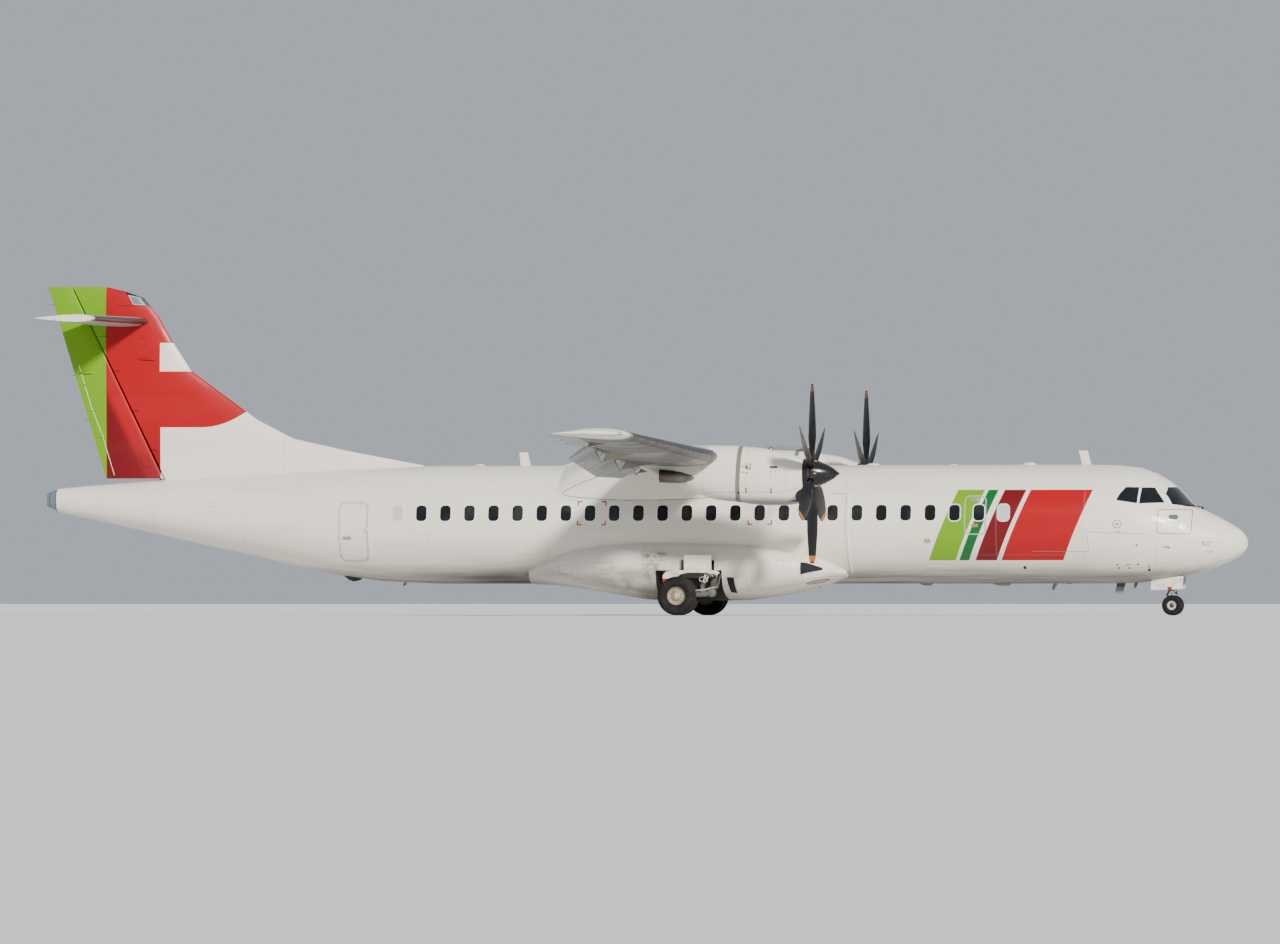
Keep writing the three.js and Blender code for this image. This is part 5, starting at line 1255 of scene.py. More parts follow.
def mast(shape, top, drop, rake, chord, thickness):
    """A drain mast or small blade: oval sections that shrink towards the tip."""
    rings = []
    for share in (0.0, 0.35, 0.7, 0.94, 1.0):
        size = chord * (1 - 0.45 * share) * (1 if share < 1 else 0.6)
        rings.append([
            (top[0] + rake * share + 0.5 * size * math.cos(turn),
             top[1] + 0.5 * thickness * math.sin(turn) * (1 - 0.4 * share), top[2] + drop * share)
            for turn in circle(12)])
    shape.skinned(rings)


ROOF = 3.3525
BELLY = 0.70
UP = (0, 0, 1)
DOWN = (0, 0, -1)
FAIRINGS = [
    # x, z, length, width, height, which way it stands
    (-1.48, ROOF - 0.01, 0.62, 0.36, 0.085, UP),
    (5.2, ROOF - 0.006, 0.30, 0.20, 0.045, UP),
    (8.7, ROOF - 0.006, 0.34, 0.24, 0.055, UP),
    (-3.7, ROOF - 0.006, 0.26, 0.17, 0.04, UP),
    (8.1, BELLY + 0.008, 0.42, 0.28, 0.06, DOWN),
    (6.4, BELLY + 0.008, 0.30, 0.20, 0.05, DOWN),
]
MASTS = [
    # foot, drop, rake, chord, thickness
    ((9.27, 0.25, BELLY + 0.03), -0.16, -0.07, 0.11, 0.03),
    ((11.12, 0.0, BELLY + 0.08), -0.17, -0.06, 0.10, 0.028),
    ((-5.4, 0.3, 0.83), -0.17, -0.07, 0.10, 0.03),
]
BUMPER_SECTIONS = [
    # x, half width, lowest z
    (-6.80, 0.03, 0.90),
    (-6.68, 0.06, 0.80),
    (-6.56, 0.07, 0.755),
    (-6.44, 0.065, 0.78),
    (-6.30, 0.03, 0.86),
]
BUMPER_TOP = 0.95
lumps = Shape("roof_and_belly_fairings", SKIN, "white_paint")
for x, z, length, width, height, out in FAIRINGS:
    teardrop(lumps, (x, 0, z), length, width, height, out)
for row in MASTS:
    mast(lumps, *row)
bumper = Shape("tail_bumper", SATIN, "black_paint")
bumper.skinned([
    [(x, half * share, z) for share, z in
     ((-1, BUMPER_TOP), (1, BUMPER_TOP), (1, low + 0.03), (0.5, low), (-0.5, low), (-1, low + 0.03))]
    for x, half, low in BUMPER_SECTIONS])
fit_shapes()

# %% Lenses, and the beacons on roof and belly
def ridged_lens(name, colour, deep):
    """Coloured glass with fine level ridges."""
    lens = Finish(name, colour, 0.12, coat=(1.0, 0.03))
    lens.lay(lens.z.from_multiple(0.02).fall(0.002, 0.005) * 0.5, deep)
    return lens.done()


RED_LENS = ridged_lens("red_lens", (0.45, 0.01, 0.01), (0.15, 0.0, 0.0))
GREEN_LENS = ridged_lens("green_lens", (0.01, 0.36, 0.16), (0.0, 0.12, 0.05))
CLEAR_LENS = plain("clear_lens", (0.55, 0.57, 0.58), 0.08, ((0.30, 0.32, 0.34), 0.5, (12, 2.0), 0.4, 0.7),
                   coat=(1.0, 0.03))
BEACON = [
    # along, radius
    (-0.02, 0.070), (0.004, 0.070), (0.012, 0.062), (0.016, 0.052), (0.05, 0.050), (0.08, 0.036),
    (0.092, 0.012),
]
ROOF_TREE = skin_of("wing_fairing", "wing_centre", "fuselage_centre")
beacons = Shape("beacons", RED_LENS, "cockpit_glass")
beacons.turned((4.0, 0, BELLY + 0.002), DOWN, BEACON)
beacons.turned(Surface(ROOF_TREE, "above").at(2.9, 0.0), UP, BEACON)
fit_shapes()

# %% Sponson inlets, lamps and access panels
# Painted shade: a near-black sheet stands for the dark inside of inlets, gaps, slots, louvres and holes; the
# cowl latches use it too.
HOLLOW = plain("dark_hollow", (0.006, 0.006, 0.007), 0.85, ((0.03, 0.027, 0.024), 0.3, (6, 3.0), 0.5, 0.8))
AMBER = plain("amber_lens", (0.20, 0.07, 0.04), 0.1, ((0.42, 0.24, 0.16), 0.6, (9, 2.0), 0.4, 0.7),
              coat=(1.0, 0.03))
INLET = [(3.80, 0.905), (3.80, 1.175), (3.93, 1.165), (4.27, 1.055), (4.27, 1.005), (3.93, 0.94)]
SLIT = [(3.89 + 0.24 * (1 - math.cos(turn)), 0.70 + 0.05 * (1 - math.cos(turn)) + 0.032 * math.sin(turn))
        for turn in circle(20)]
DARK_GAP = [(2.19, 0.85), (2.345, 0.84), (2.37, 0.50), (2.235, 0.515)]
OPEN_PANEL = [(2.375, 0.865), (2.62, 0.85), (2.69, 0.535), (2.405, 0.505)]
FILLER_CAPS = [(0.45, 1.10), (0.57, 1.09), (0.70, 1.13)]
ACCESS_PANELS = [
    # x, z, width, height, corner
    (0.55, 1.12, 0.50, 0.20, 0.02),
    (3.30, 1.12, 0.30, 0.22, 0.03),
    (-0.6, 1.05, 0.46, 0.26, 0.03),
    (-1.5, 1.02, 0.34, 0.20, 0.03),
    (0.3, 1.2, 0.4, 0.16, 0.03),
]
SPONSON_TREE = skin_of("sponson_left", "sponson_right")
inlets = Shape("sponson_inlets", HOLLOW, "black_paint")
lips = Shape("sponson_inlet_lips", MOULDING, "white_composite")
panels = Shape("sponson_panel_lines", GREY_LINE, "white_composite")
lamps = Shape("sponson_lamps", AMBER, "cockpit_glass")
lamp_rims = Shape("sponson_lamp_rims", SATIN, "black_paint")
for view in SIDES:
    sponson = Surface(SPONSON_TREE, view)
    sponson.patch(inlets, INLET, 0.004, 0.02)
    sponson.rim(lips, scaled(INLET, 1.12), 0.012, 0.010)
    sponson.patch(lamps, scaled(SLIT, 0.9))
    sponson.rim(lamp_rims, scaled(SLIT, 1.05), 0.012, 0.006)
    sponson.patch(inlets, DARK_GAP, 0.004, 0.018)
    sponson.rim(lips, OPEN_PANEL, 0.018, 0.012)
    for x, z in FILLER_CAPS:
        sponson.patch(lips, disc(x, z, 0.032), 0.006)
    for panel in ACCESS_PANELS:
        sponson.rim(panels, rounded(*panel), 0.007)
fit_shapes()

# %% [markdown]
# ## Nacelles, propellers and exhausts
# A cowl opens for servicing, so it carries latches along its lower edge, a metal strap over the
# joint of its halves, a louvre that lets hot air out and a ram-air scoop with a bright lip. Each
# blade has a metal strip on its leading edge and turns in a round boot in the spinner.

# %% Cowl fittings on both sides of both nacelles
def hoop(shape, centre, reach_y, reach_z, thickness, points, sides=8):
    """A round bar bent into an upright ring that faces forward."""
    centre = Vector(centre)
    shape.pipe([centre + Vector((0, reach_y * math.cos(turn), reach_z * math.sin(turn)))
                for turn in circle(points)], thickness, sides, closed=True)


LATCHES = [
    # x, lowest z, highest z
    (3.05, 2.69, 2.81),
    (3.60, 2.67, 2.79),
    (2.88, 2.66, 2.72),
]
COWL_SLOTS = [
    # x, z, width, height, corner
    (2.97, 3.135, 0.055, 0.016, 0.006),
    (3.07, 3.135, 0.055, 0.016, 0.006),
    (3.61, 3.145, 0.04, 0.014, 0.005),
    (3.70, 3.145, 0.04, 0.014, 0.005),
]
LOUVRE_X = 3.655
LOUVRE_Z = 3.25
SCOOP = (3.15, 4.502, 3.27)
bright_parts = Shape("cowl_latches_and_lips", BRIGHT, "wheel_metal")
dark_parts = Shape("cowl_louvres", HOLLOW, "black_paint")
drains = Shape("cowl_drains", SATIN, "black_paint")
for view, side in SIDES.items():
    cowl_side = Surface(skin_of("nacelle_right" if side < 0 else "nacelle_left"), view)
    for x, low, high in LATCHES:
        cowl_side.patch(dark_parts, rounded(x, (low + high) / 2, 0.024, high - low, 0.010, 4), 0.007)
    # Painted shade: a near-black patch behind the louvre's slats, and near-black slots below.
    cowl_side.patch(dark_parts, rounded(LOUVRE_X, LOUVRE_Z, 0.17, 0.055, 0.01, 4), 0.002)
    for rise in (-0.015, 0.0, 0.015):
        slat = [cowl_side.at(LOUVRE_X + along, LOUVRE_Z + rise, 0.008) for along in (-0.08, 0.0, 0.08)]
        bright_parts.pipe(slat, 0.003, 5)
    for slot in COWL_SLOTS:
        cowl_side.patch(dark_parts, rounded(*slot, 3), 0.0015)
    drains.turned(cowl_side.at(2.80, 2.565), (0, side, -0.25),
                  [(-0.01, 0.018), (0.006, 0.018), (0.014, 0.010)], 12)
    hoop(bright_parts, (SCOOP[0], side * SCOOP[1], SCOOP[2]), 0.074, 0.074, 0.008, 20)
    # Painted shade: a near-black disc in the scoop's mouth.
    dark_parts.turned((3.062, side * SCOOP[1], SCOOP[2]), (1, 0, 0), [(0.0, 0.058), (0.004, 0.058)], 16)
    hoop(bright_parts, (4.272, side * HUB_Y, 2.577), 0.222, 0.082, 0.012, 28)
    # Painted shade: a near-black ring in the gap between spinner and cowl.
    hoop(dark_parts, (4.276, side * HUB_Y, HUB_Z), 0.30, 0.30, 0.012, 32, 6)
exhaust_lips = Shape("exhaust_lips", STEEL, "exhaust_steel")
for side in (-1, 1):
    hoop(exhaust_lips, (1.135, side * 4.44, 3.06), 0.137, 0.137, 0.008, 28)
    hoop(exhaust_lips, (1.42, side * 4.432, 3.0545), 0.1455, 0.1455, 0.005, 28, 6)
fit_shapes()

# %% Blade strips, boots and spinner marks
STRIP = plain("blade_strip_metal", (0.20, 0.20, 0.21), 0.4, ((0.38, 0.37, 0.35), 0.5, (25, 4.0), 0.5, 0.75),
              metallic=0.8)
STRIP_SECTIONS = [
    # radius, half chord, pitch in degrees, thickness
    (0.86, 0.1516, 42.9, 0.004),
    (1.10, 0.1595, 37.7, 0.008),
    (1.30, 0.166, 33.0, 0.008),
    (1.58, 0.149, 29.4, 0.006),
    (1.80, 0.1355, 26.6, 0.005),
    (1.92, 0.0975, 25.4, 0.003),
]
SPINNER_MARK = [(-0.03, -0.014), (0.03, -0.014), (0.036, 0.0), (0.03, 0.014), (-0.03, 0.014)]
SPINNER_TIP_X = 5.058
BLADES = 6
for name, side in (("right", -1), ("left", 1)):
    propeller = f"propeller_{name}"
    strips = Shape(f"blade_strips_{name}", STRIP, "engine_metal", propeller)
    boots = Shape(f"blade_boots_{name}", RUBBER, "black_paint", propeller)
    marks = Shape(f"spinner_marks_{name}", ORANGE_MARK, "red_composite", propeller)
    for turn in circle(BLADES):
        spin = Matrix.Translation((HUB_X, side * HUB_Y, HUB_Z)) @ Matrix.Rotation(turn, 4, "X")
        path = []
        for radius, half, pitch, _ in STRIP_SECTIONS:
            angle = math.radians(pitch)
            path.append(spin @ Vector((half * math.sin(angle), -half * math.cos(angle), radius)))
        strips.pipe(path, [row[-1] for row in STRIP_SECTIONS], 6)
        boots.pipe([spin @ Vector((0.085 * math.cos(a), 0.085 * math.sin(a), 0.300 - 0.012 * math.cos(2 * a)))
                    for a in circle(18)], 0.010, 6, closed=True)
        between = spin @ Matrix.Rotation(math.pi / BLADES, 4, "X")
        outline = [between @ Vector((0.10 + dx, dy, 0.3065)) for dx, dy in SPINNER_MARK]
        marks.slab(outline, between.to_3x3() @ Vector((0.21, 0, 1)), 0.012)
    boots.turned((SPINNER_TIP_X, side * HUB_Y, HUB_Z), (1, 0, 0),
                 [(-0.025, 0.030), (-0.004, 0.018), (0.0, 0.006)], 14)
fit_shapes()

# %% [markdown]
# ## Wheels and landing gear
# The CAD tyres are coarse rings. Each is replaced by a turned tyre of the same size with four tread
# grooves, and each wheel by a turned one with its flange, dished face, tie bolts, vent holes and cap.
# The legs stay as they are and get what hangs on them: brake packs, pipes, glands, links and a lamp.

# %% Turned tyres and wheels
WHEEL_SIDES = 64
TYRE_SECTION = [
    # share of the half width, share of the wall height
    (0.76, 0.0), (0.85, 0.03), (0.90, 0.10), (0.95, 0.22), (0.99, 0.36), (1.0, 0.5), (0.985, 0.64),
    (0.93, 0.76), (0.84, 0.865), (0.71, 0.93), (0.57, 0.966), (0.53, 0.972), (0.515, 0.925),
    (0.455, 0.928), (0.44, 0.984), (0.235, 0.997), (0.22, 0.95), (0.16, 0.95), (0.145, 1.0),
]
WHEEL_SECTION = [
    # share of the half width outward from the tyre's middle, share of the bead radius
    (-0.50, 0.0), (-0.50, 0.42), (-0.36, 0.52), (-0.36, 0.82), (-0.66, 0.88), (-0.76, 0.94),
    (-0.76, 0.995), (0.70, 0.995), (0.78, 0.985), (0.78, 0.955), (0.72, 0.93), (0.60, 0.88),
    (0.44, 0.82), (0.40, 0.76), (0.40, 0.70), (0.50, 0.56), (0.60, 0.44), (0.66, 0.36), (0.66, 0.27),
    (0.80, 0.25), (0.90, 0.20), (0.94, 0.12), (0.95, 0.0),
]
BOLT = [(-0.004, 0.0085), (0.008, 0.0085), (0.011, 0.0055)]
BOLT_RING = 0.66
HOLE_RING = 0.50
MAIN_BEAD = 0.206
MAIN_TRACK_Y = 2.05


def wheel_face(share, width):
    """How far out a wheel's face stands at a share of the bead radius."""
    face = [(reach, across) for across, reach in WHEEL_SECTION if across > 0.3 and reach < 0.95]
    for (outer, a), (inner, b) in zip(face, face[1:]):
        if inner <= share <= outer:
            return (b + (a - b) * (share - inner) / max(outer - inner, 1e-6)) * width / 2


def turned_wheels(body, wheel_node, centre, radius, bead, width, spacing, bolts, tyre_nodes):
    """A pair of wheels on one axle, with a tyre on each."""
    half = width / 2
    section = [(across * half, bead + up * (radius - bead)) for across, up in TYRE_SECTION]
    section += [(-across, reach) for across, reach in reversed(section)]
    face = [(across * half, share * bead) for across, share in WHEEL_SECTION]
    bolt = [(d * bead / MAIN_BEAD, r * bead / MAIN_BEAD) for d, r in BOLT]
    hole = [(-0.010, 0.068 * bead), (0.003, 0.068 * bead)]
    axle = [(-spacing / 2, 0.24 * bead), (spacing / 2, 0.24 * bead)]
    wheels = Shape(f"{wheel_node}_turned", HUB, "wheel_metal", body)
    wheels.stands_for = wheel_node
    bolt_heads = Shape(f"{wheel_node}_bolts", BRIGHT, "wheel_metal", body)
    # Painted shade: the vent holes are near-black plugs.
    holes = Shape(f"{wheel_node}_vent_holes", HOLLOW, "black_paint", body)
    for sign, tyre_node in zip((-1, 1), tyre_nodes):
        middle = Vector(centre) + Vector((0, sign * spacing / 2, 0))
        treaded = Shape(f"{tyre_node}_treaded", TYRE, "tyre_rubber", body)
        treaded.stands_for = tyre_node
        treaded.skinned([[middle + Vector((reach * math.cos(turn), along, reach * math.sin(turn)))
                          for turn in circle(WHEEL_SIDES)] for along, reach in section], closed=True)
        wheels.turned(middle, (0, sign, 0), face, WHEEL_SIDES)
        for turn in circle(bolts):
            for shape, share, profile, sides, ahead in (
                    (bolt_heads, BOLT_RING, bolt, 6, 0.0), (holes, HOLE_RING, hole, 12, math.pi / bolts)):
                spot = Vector((share * bead * math.cos(turn + ahead), sign * wheel_face(share, width),
                               share * bead * math.sin(turn + ahead)))
                shape.turned(middle + spot, (0, sign, 0), profile, sides)
    wheels.turned(centre, (0, 1, 0), axle, 24)


for side, sign, order in (("left", 1, ("inner", "outer")), ("right", -1, ("outer", "inner"))):
    turned_wheels(
        f"main_wheel_pair_{side}", f"main_wheels_{side}", (MAIN_AXLE[0], sign * MAIN_TRACK_Y, MAIN_AXLE[1]),
        0.432, MAIN_BEAD, 0.254, 0.430, 10, [f"main_tyre_{side}_{where}" for where in order])
turned_wheels("nose_wheel_pair", "nose_wheels", (NOSE_AXLE[0], 0, NOSE_AXLE[1]), 0.225, 0.105, 0.180,
              0.350, 6, ["nose_tyre_right", "nose_tyre_left"])
fit_shapes()

# %% Links, clamps and bowed pipes
def flat_link(shape, start, end, start_half, end_half, out, thickness, steps=7):
    """A flat forged link with round ends, thickened along out."""
    start = Vector(start)
    end = Vector(end)
    out = Vector(out).normalized()
    along = (end - start).normalized()
    across = out.cross(along)
    outline = []
    for centre, half, first in ((end, end_half, -math.pi / 2), (start, start_half, math.pi / 2)):
        for step in range(steps):
            turn = first + math.pi * step / (steps - 1)
            outline.append(centre + half * (math.cos(turn) * along + math.sin(turn) * across)
                           - out * thickness / 2)
    shape.slab(outline, out, thickness)


def clamp(shape, start, end, share, radius, width=0.03):
    """A collar round a bar that runs from start to end."""
    start = Vector(start)
    end = Vector(end)
    profile = [(-width / 2, radius - 0.006), (-width / 2, radius), (width / 2, radius),
               (width / 2, radius - 0.006)]
    shape.turned(start.lerp(end, share), end - start, profile)


def bowed(start, end, sag, steps=8):
    """Points from start to end along an arc that bows out by sag, a vector."""
    return [start.lerp(end, i / steps) + sag * math.sin(math.pi * i / steps) for i in range(steps + 1)]


# %% Main gear: strut, collars, knee caps, brakes, links and pipes
CHROME = plain("chrome_piston", (0.70, 0.70, 0.70), 0.14,
               ((0.35, 0.33, 0.30), 0.4, (12, 3.0, (1, 1, 0.3)), 0.5, 0.8),
               wear=(30, 3.0, 0.12), metallic=1.0)
PALE_PIPE = plain("pale_pipe", (0.62, 0.58, 0.50), 0.4, ((0.16, 0.13, 0.10), 0.6, (20, 3.0), 0.5, 0.75),
                  metallic=0.3)
LEG_TOP = (1.90, 1.21, 1.15)
LEG_KNEE = (1.90, 2.05, 0.50)
STRUT_TOP = (1.73, 1.24, 1.13)
STRUT_FOOT = (1.69, 2.05, 0.64)
ARM_ENDS = ((1.82, 2.05, 0.488), (1.178, 2.05, 0.432))
KNEE_CAP = [(-0.01, 0.074), (0.010, 0.074), (0.016, 0.060), (0.016, 0.034), (0.030, 0.030), (0.034, 0.018)]
BRAKE_DISC = [(0.0, 0.11), (0.0, 0.142), (0.008, 0.142), (0.008, 0.11)]
LINKS = [
    # start, end, half widths, out, thickness
    ((1.70, 2.11, 0.53), (1.70, 2.11, 0.66), (0.05, 0.035), (0, 1, 0), 0.016),
    ((1.70, 1.99, 0.53), (1.70, 1.99, 0.66), (0.05, 0.035), (0, 1, 0), 0.016),
    ((2.02, 2.00, 0.62), (2.06, 1.66, 1.02), (0.028, 0.022), (1, 0, 0), 0.02),
]
BRAKE_PIPE = [
    # x, y, z, 1 where the second pipe runs beside it, 1 where it runs above it
    (2.0, 1.36, 1.14, 1, 0),
    (2.01, 1.5, 1.03, 1, 0),
    (2.01, 1.9, 0.72, 1, 0),
    (1.99, 2.0, 0.62, 1, 0),
    (1.90, 2.13, 0.60, 0, 1),
    (1.78, 2.13, 0.565, 0, 1),
    (1.45, 2.125, 0.53, 0, 1),
    (1.26, 2.12, 0.50, 0, 1),
    (1.20, 2.13, 0.48, 0, 1),
]
for name, sign in (("left", 1), ("right", -1)):
    def at(x, y, z):
        return Vector((x, sign * y, z))

    bright = Shape(f"main_gear_bright_parts_{name}", CHROME, "wheel_metal")
    fittings = Shape(f"main_gear_fittings_{name}", GEAR, "gear_paint")
    pipes = Shape(f"main_gear_pipes_{name}", PALE_PIPE, "wheel_metal")
    top, knee = at(*LEG_TOP), at(*LEG_KNEE)
    strut_top, strut_foot = at(*STRUT_TOP), at(*STRUT_FOOT)
    bright.pipe([strut_top.lerp(strut_foot, 0.72), strut_top.lerp(strut_foot, 0.94)], [0.052, 0.049], 24)
    clamp(fittings, strut_top, strut_foot, 0.70, 0.074, 0.05)
    clamp(fittings, strut_top, strut_foot, 0.95, 0.066, 0.04)
    for share in (0.30, 0.52, 0.74):
        clamp(fittings, top, knee, share, 0.105 - 0.032 * share, 0.035)
    for outward in (1, -1):
        facing = (0, outward * sign, 0)
        cap_middle = knee + Vector((0, sign * outward * 0.066, 0))
        fittings.turned(cap_middle, facing, KNEE_CAP, 24)
        for turn in circle(8):
            spot = Vector((0.054 * math.cos(turn), 0.014 * outward * sign, 0.054 * math.sin(turn)))
            bright.turned(cap_middle + spot, facing, BOLT, 6)
    for start, end, halves, out, thickness in LINKS:
        flat_link(fittings, at(*start), at(*end), *halves, out, thickness)
    for share in (0.12, 0.88):
        clamp(fittings, at(*ARM_ENDS[0]), at(*ARM_ENDS[1]), share, 0.066)
    for depth in range(5):
        for outward in (1, -1):
            centre = at(MAIN_AXLE[0], MAIN_TRACK_Y + outward * (0.082 + 0.014 * depth), MAIN_AXLE[1])
            fittings.turned(centre, (0, outward * sign, 0), BRAKE_DISC, 32)
    for beside, above in ((0.0, 0.0), (0.02, 0.022)):
        pipes.pipe([at(x + beside * aside, y, z + above * over) for x, y, z, aside, over in BRAKE_PIPE],
                   0.0065)
    loop = [at(1.655 + 0.048 * math.cos(turn), 1.985, 0.80 + 0.048 * math.sin(turn))
            for turn in (math.radians(60 + 30 * k) for k in range(11))]
    pipes.pipe([at(1.79, 1.93, 0.93), at(1.74, 1.96, 0.88)] + loop + [at(1.70, 2.0, 0.70)], 0.009)
    pipes.pipe(bowed(at(1.72, 1.99, 0.70), at(1.80, 1.97, 0.88), at(0.03, 0.02, 0.02)), 0.009)
    pipes.pipe(bowed(at(1.72, 1.99, 0.70), at(1.735, 1.98, 0.93), at(-0.012, 0.01, 0.0)), 0.008)
    flat_link(pipes, at(1.735, 2.0, 0.86), at(1.785, 2.0, 0.77), 0.022, 0.016, (0, 1, 0), 0.012)
fit_shapes()

# %% Nose gear: scissors, collars, steering jacks and lamp
COLLARS = [
    # z, radius, width
    (0.585, 0.082, 0.05),
    (0.66, 0.086, 0.035),
    (0.80, 0.080, 0.03),
    (1.02, 0.084, 0.03),
]
nose_x, axle_z = NOSE_AXLE
piston = Shape("nose_gear_piston", CHROME, "wheel_metal", "nose_fork")
piston.pipe([(nose_x, 0, 0.30), (nose_x, 0, 0.545)], 0.0415, 28)
steered = Shape("nose_gear_links", GEAR, "gear_paint", "nose_fork")
for y in (-0.026, 0.026):
    apex = (nose_x - 0.135, y * 0.5, 0.455)
    flat_link(steered, (nose_x - 0.045, y, 0.335), apex, 0.024, 0.016, (0, 1, 0), 0.012)
    flat_link(steered, apex, (nose_x - 0.06, y, 0.585), 0.016, 0.022, (0, 1, 0), 0.012)
steered.turned((nose_x - 0.135, -0.03, 0.455), (0, 1, 0), [(0.0, 0.012), (0.06, 0.012)], 12)
steered.turned((nose_x, 0, 0.30), UP, [(0.0, 0.048), (0.0, 0.056), (0.03, 0.056), (0.04, 0.044)], 28)
steered.turned((nose_x, 0, axle_z), (1, 0, 0), [(0.03, 0.020), (0.10, 0.018), (0.11, 0.012)], 16)
steered.pipe([(nose_x + 0.03, 0, 0.505), (nose_x + 0.075, 0, 0.505)], 0.014, 10)
steered.turned((nose_x + 0.06, 0, 0.505), (1, 0, 0), [
    (0.0, 0.016), (0.012, 0.034), (0.03, 0.044), (0.05, 0.046), (0.055, 0.043)], 24)
lens = Shape("nose_gear_lamp_lens", CLEAR_LENS, "cockpit_glass", "nose_fork")
lens.turned((nose_x + 0.113, 0, 0.505), (1, 0, 0), [(0.0, 0.041), (0.005, 0.038), (0.010, 0.020)], 24)
fixed = Shape("nose_gear_fittings", GEAR, "gear_paint")
for z, radius, width in COLLARS:
    clamp(fixed, (nose_x, 0, z - 0.5), (nose_x, 0, z + 0.5), 0.5, radius, width)
for side in (-1, 1):
    jack_y = side * 0.105
    fixed.pipe([(nose_x - 0.15, jack_y, 0.70), (nose_x - 0.02, jack_y, 0.70)], 0.026, 16)
    fixed.pipe([(nose_x - 0.02, jack_y, 0.70), (nose_x + 0.06, side * 0.092, 0.68)], 0.012, 10)
    fixed.pipe([(nose_x, side * 0.05, 1.30), (nose_x + 0.075, side * 0.05, 1.0),
                (nose_x + 0.08, side * 0.045, 0.72), (nose_x + 0.075, side * 0.03, 0.60)], 0.006)
fit_shapes()

# %% [markdown]
# ## Wing and tail fittings
# Thin rods on the trailing edges bleed static charge, and the tips carry a coloured lamp with a
# strobe behind it. The rods are real geometry because they stand against the sky. They ride on the
# surface that carries them. The rudder has a tab line, and fairings cover its hinges and actuator.

# %% Static wicks
WICK = [
    # aft of the edge, below it, radius
    (0.0, 0.0, 0.0055),
    (0.05, 0.004, 0.0055),
    (0.06, 0.005, 0.0025),
    (0.17, 0.02, 0.0015),
]
WICKS = [
    # node, axis, places
    ("aileron_left", 1, (10.3, 11.3, 12.3, 12.85)),
    ("aileron_right", 1, (-10.3, -11.3, -12.3, -12.85)),
    ("elevator_left", 1, (1.2, 2.2, 3.1)),
    ("elevator_right", 1, (-1.2, -2.2, -3.1)),
    ("rudder", 2, (4.4, 5.4, 7.0, 7.3)),
]
for node, axis, places in WICKS:
    wicks = Shape(f"static_wicks_{node}", SATIN, "black_paint", node)
    for place in places:
        points = section_at(node, axis, place)
        if not points:
            continue
        rear = min(point.x for point in points)
        edge = [point for point in points if point.x < rear + 0.02]
        start = sum(edge, Vector()) / len(edge)
        start.x = rear + 0.012
        wicks.pipe([start - Vector((aft, 0, below)) for aft, below, _ in WICK], [row[-1] for row in WICK], 6)
fit_shapes()

# %% Fin and rudder: tab line, fairings, slots and the metal plate near the fin's tip
TAB_LINE = [(-12.86, 5.63), (-12.58, 4.71), (-12.31, 4.03), (-12.21, 3.70), (-12.04, 3.15)]
TAB_HINGE_SHARES = (0.18, 0.42, 0.66, 0.88)
RUDDER_FOOT_CUT = [(-11.45, 3.58), (-11.36, 3.33), (-11.16, 3.34)]
FIN_CAP_PLATE = [(-11.72, 7.20), (-11.46, 7.14), (-11.33, 6.97), (-11.60, 6.985)]
HINGE_LEVELS = (3.72, 4.60, 5.49, 6.25)
FIN_SLOTS = [(-11.52, 6.45), (-11.40, 6.23), (-11.34, 6.05)]
FIN_TREE = skin_of("fin")
RUDDER_TREE = skin_of("rudder")
tab_lines = Shape("rudder_tab_lines", RIM, "white_composite", "rudder")
tab_hinges = Shape("rudder_tab_hinges", SATIN, "black_paint", "rudder")
actuators = Shape("rudder_actuator_fairings", FIN, "green_composite", "rudder")
hinges = Shape("fin_hinge_fairings", FIN, "red_composite")
slots = Shape("fin_slots", SATIN, "black_paint")
plates = Shape("fin_cap_plates", CAP, "grey_composite")
plate_rims = Shape("fin_cap_rims", RIM, "white_composite")
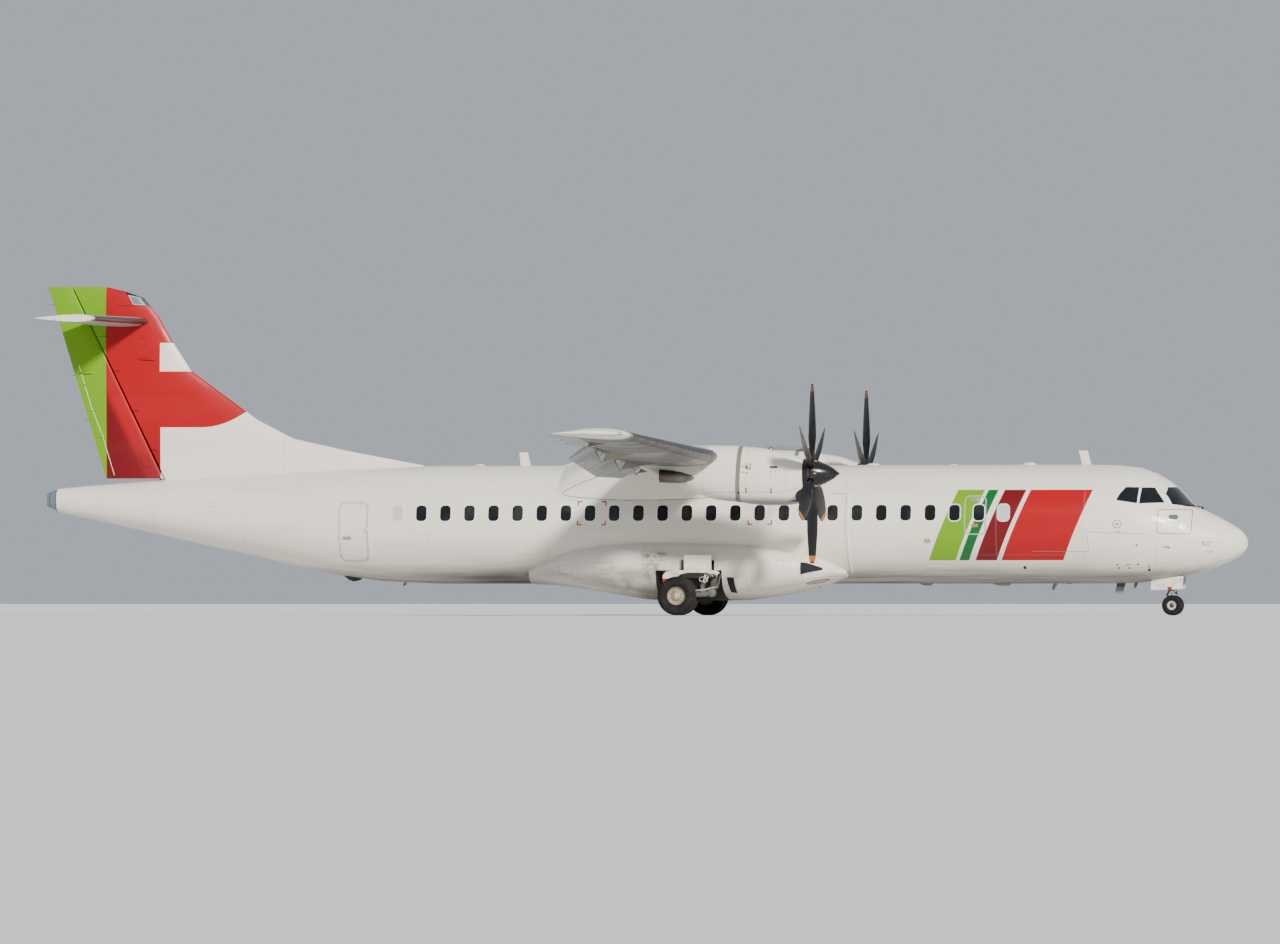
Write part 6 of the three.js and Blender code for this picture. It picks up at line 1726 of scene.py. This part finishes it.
for view, side in SIDES.items():
    on_fin = Surface(FIN_TREE, view)
    on_rudder = Surface(RUDDER_TREE, view)
    out = (0, side, 0)
    on_rudder.strip(tab_lines, TAB_LINE, 0.014)
    on_rudder.strip(tab_hinges, RUDDER_FOOT_CUT, 0.014)
    for share in TAB_HINGE_SHARES:
        u, v = (high + (low - high) * share for high, low in zip(TAB_LINE[0], TAB_LINE[-1]))
        on_rudder.patch(tab_hinges, rounded(u - 0.02, v, 0.05, 0.018, 0.006, 3), 0.004)
    teardrop(actuators, on_rudder.at(-12.66, 5.46), 0.40, 0.085, 0.05, out)
    teardrop(hinges, on_fin.at(-11.30, 5.755), 0.50, 0.07, 0.045, out)
    for z in HINGE_LEVELS:
        hinge_x = HINGE_FOOT_X - HINGE_RAKE * (z - HINGE_FOOT_Z)
        teardrop(hinges, on_fin.at(hinge_x + 0.22, z), 0.20, 0.04, 0.022, out)
    for x, z in FIN_SLOTS:
        on_fin.patch(slots, rounded(x, z, 0.085, 0.014, 0.005, 3))
    on_fin.patch(plates, FIN_CAP_PLATE, 0.004)
    on_fin.rim(plate_rims, FIN_CAP_PLATE, 0.012, 0.006)
fit_shapes()

# %% Tip lamps and strobes
LAMP = [(-0.10, 0.008), (-0.06, 0.026), (0.0, 0.034), (0.06, 0.032), (0.10, 0.022), (0.118, 0.008)]
STROBE = [(-0.08, 0.006), (-0.05, 0.020), (0.0, 0.027), (0.05, 0.020), (0.08, 0.006)]
for name, side, glass in (("right", -1, GREEN_LENS), ("left", 1, RED_LENS)):
    low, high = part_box(f"wing_outer_{name}")
    end_y = high.y if side > 0 else -low.y
    points = section_at(f"wing_outer_{name}", 1, side * (end_y - 0.05))
    nose = max(points, key=lambda point: point.x)
    lamp = Shape(f"tip_lamp_{name}", glass, "cockpit_glass")
    lamp.turned((nose.x - 0.10, side * (end_y - 0.055), nose.z), (1, 0, 0), LAMP, 16)
    strobe = Shape(f"tip_strobe_{name}", CLEAR_LENS, "cockpit_glass")
    strobe.turned((nose.x - 0.42, side * (end_y - 0.03), nose.z + 0.005), (1, 0, 0), STROBE, 14)
    print(name, "tip lamp at", [round(v, 2) for v in nose])
fit_shapes()

# %% [markdown]
# ## Floor
# The ground of a photo studio has no edge that the camera could see. A flat disc of 1.5 km in
# radius gives a level horizon and soft shadows under the wheels, which a world colour alone can't.

# %% A pale floor under the wheels
FLOOR_RADIUS = 1500
FLOOR_SIDES = 96
floor_mesh = bpy.data.meshes.new("studio_floor")
floor_mesh.from_pydata(
    [(FLOOR_RADIUS * math.cos(turn), FLOOR_RADIUS * math.sin(turn), 0) for turn in circle(FLOOR_SIDES)],
    [], [tuple(range(FLOOR_SIDES))])
floor_mesh.materials.append(
    plain("studio_floor", (0.80, 0.80, 0.79), 0.85, ((0.72, 0.72, 0.72), 0.15, (0.6, 3.0), 0.3, 0.8)))
floor = bpy.data.objects.new("studio_floor", floor_mesh)
bpy.context.scene.collection.objects.link(floor)

# %% [markdown]
# ## Close the scene
# The wicks on the elevators trail 0.1 m past the CAD model's box, and nothing else leaves it.
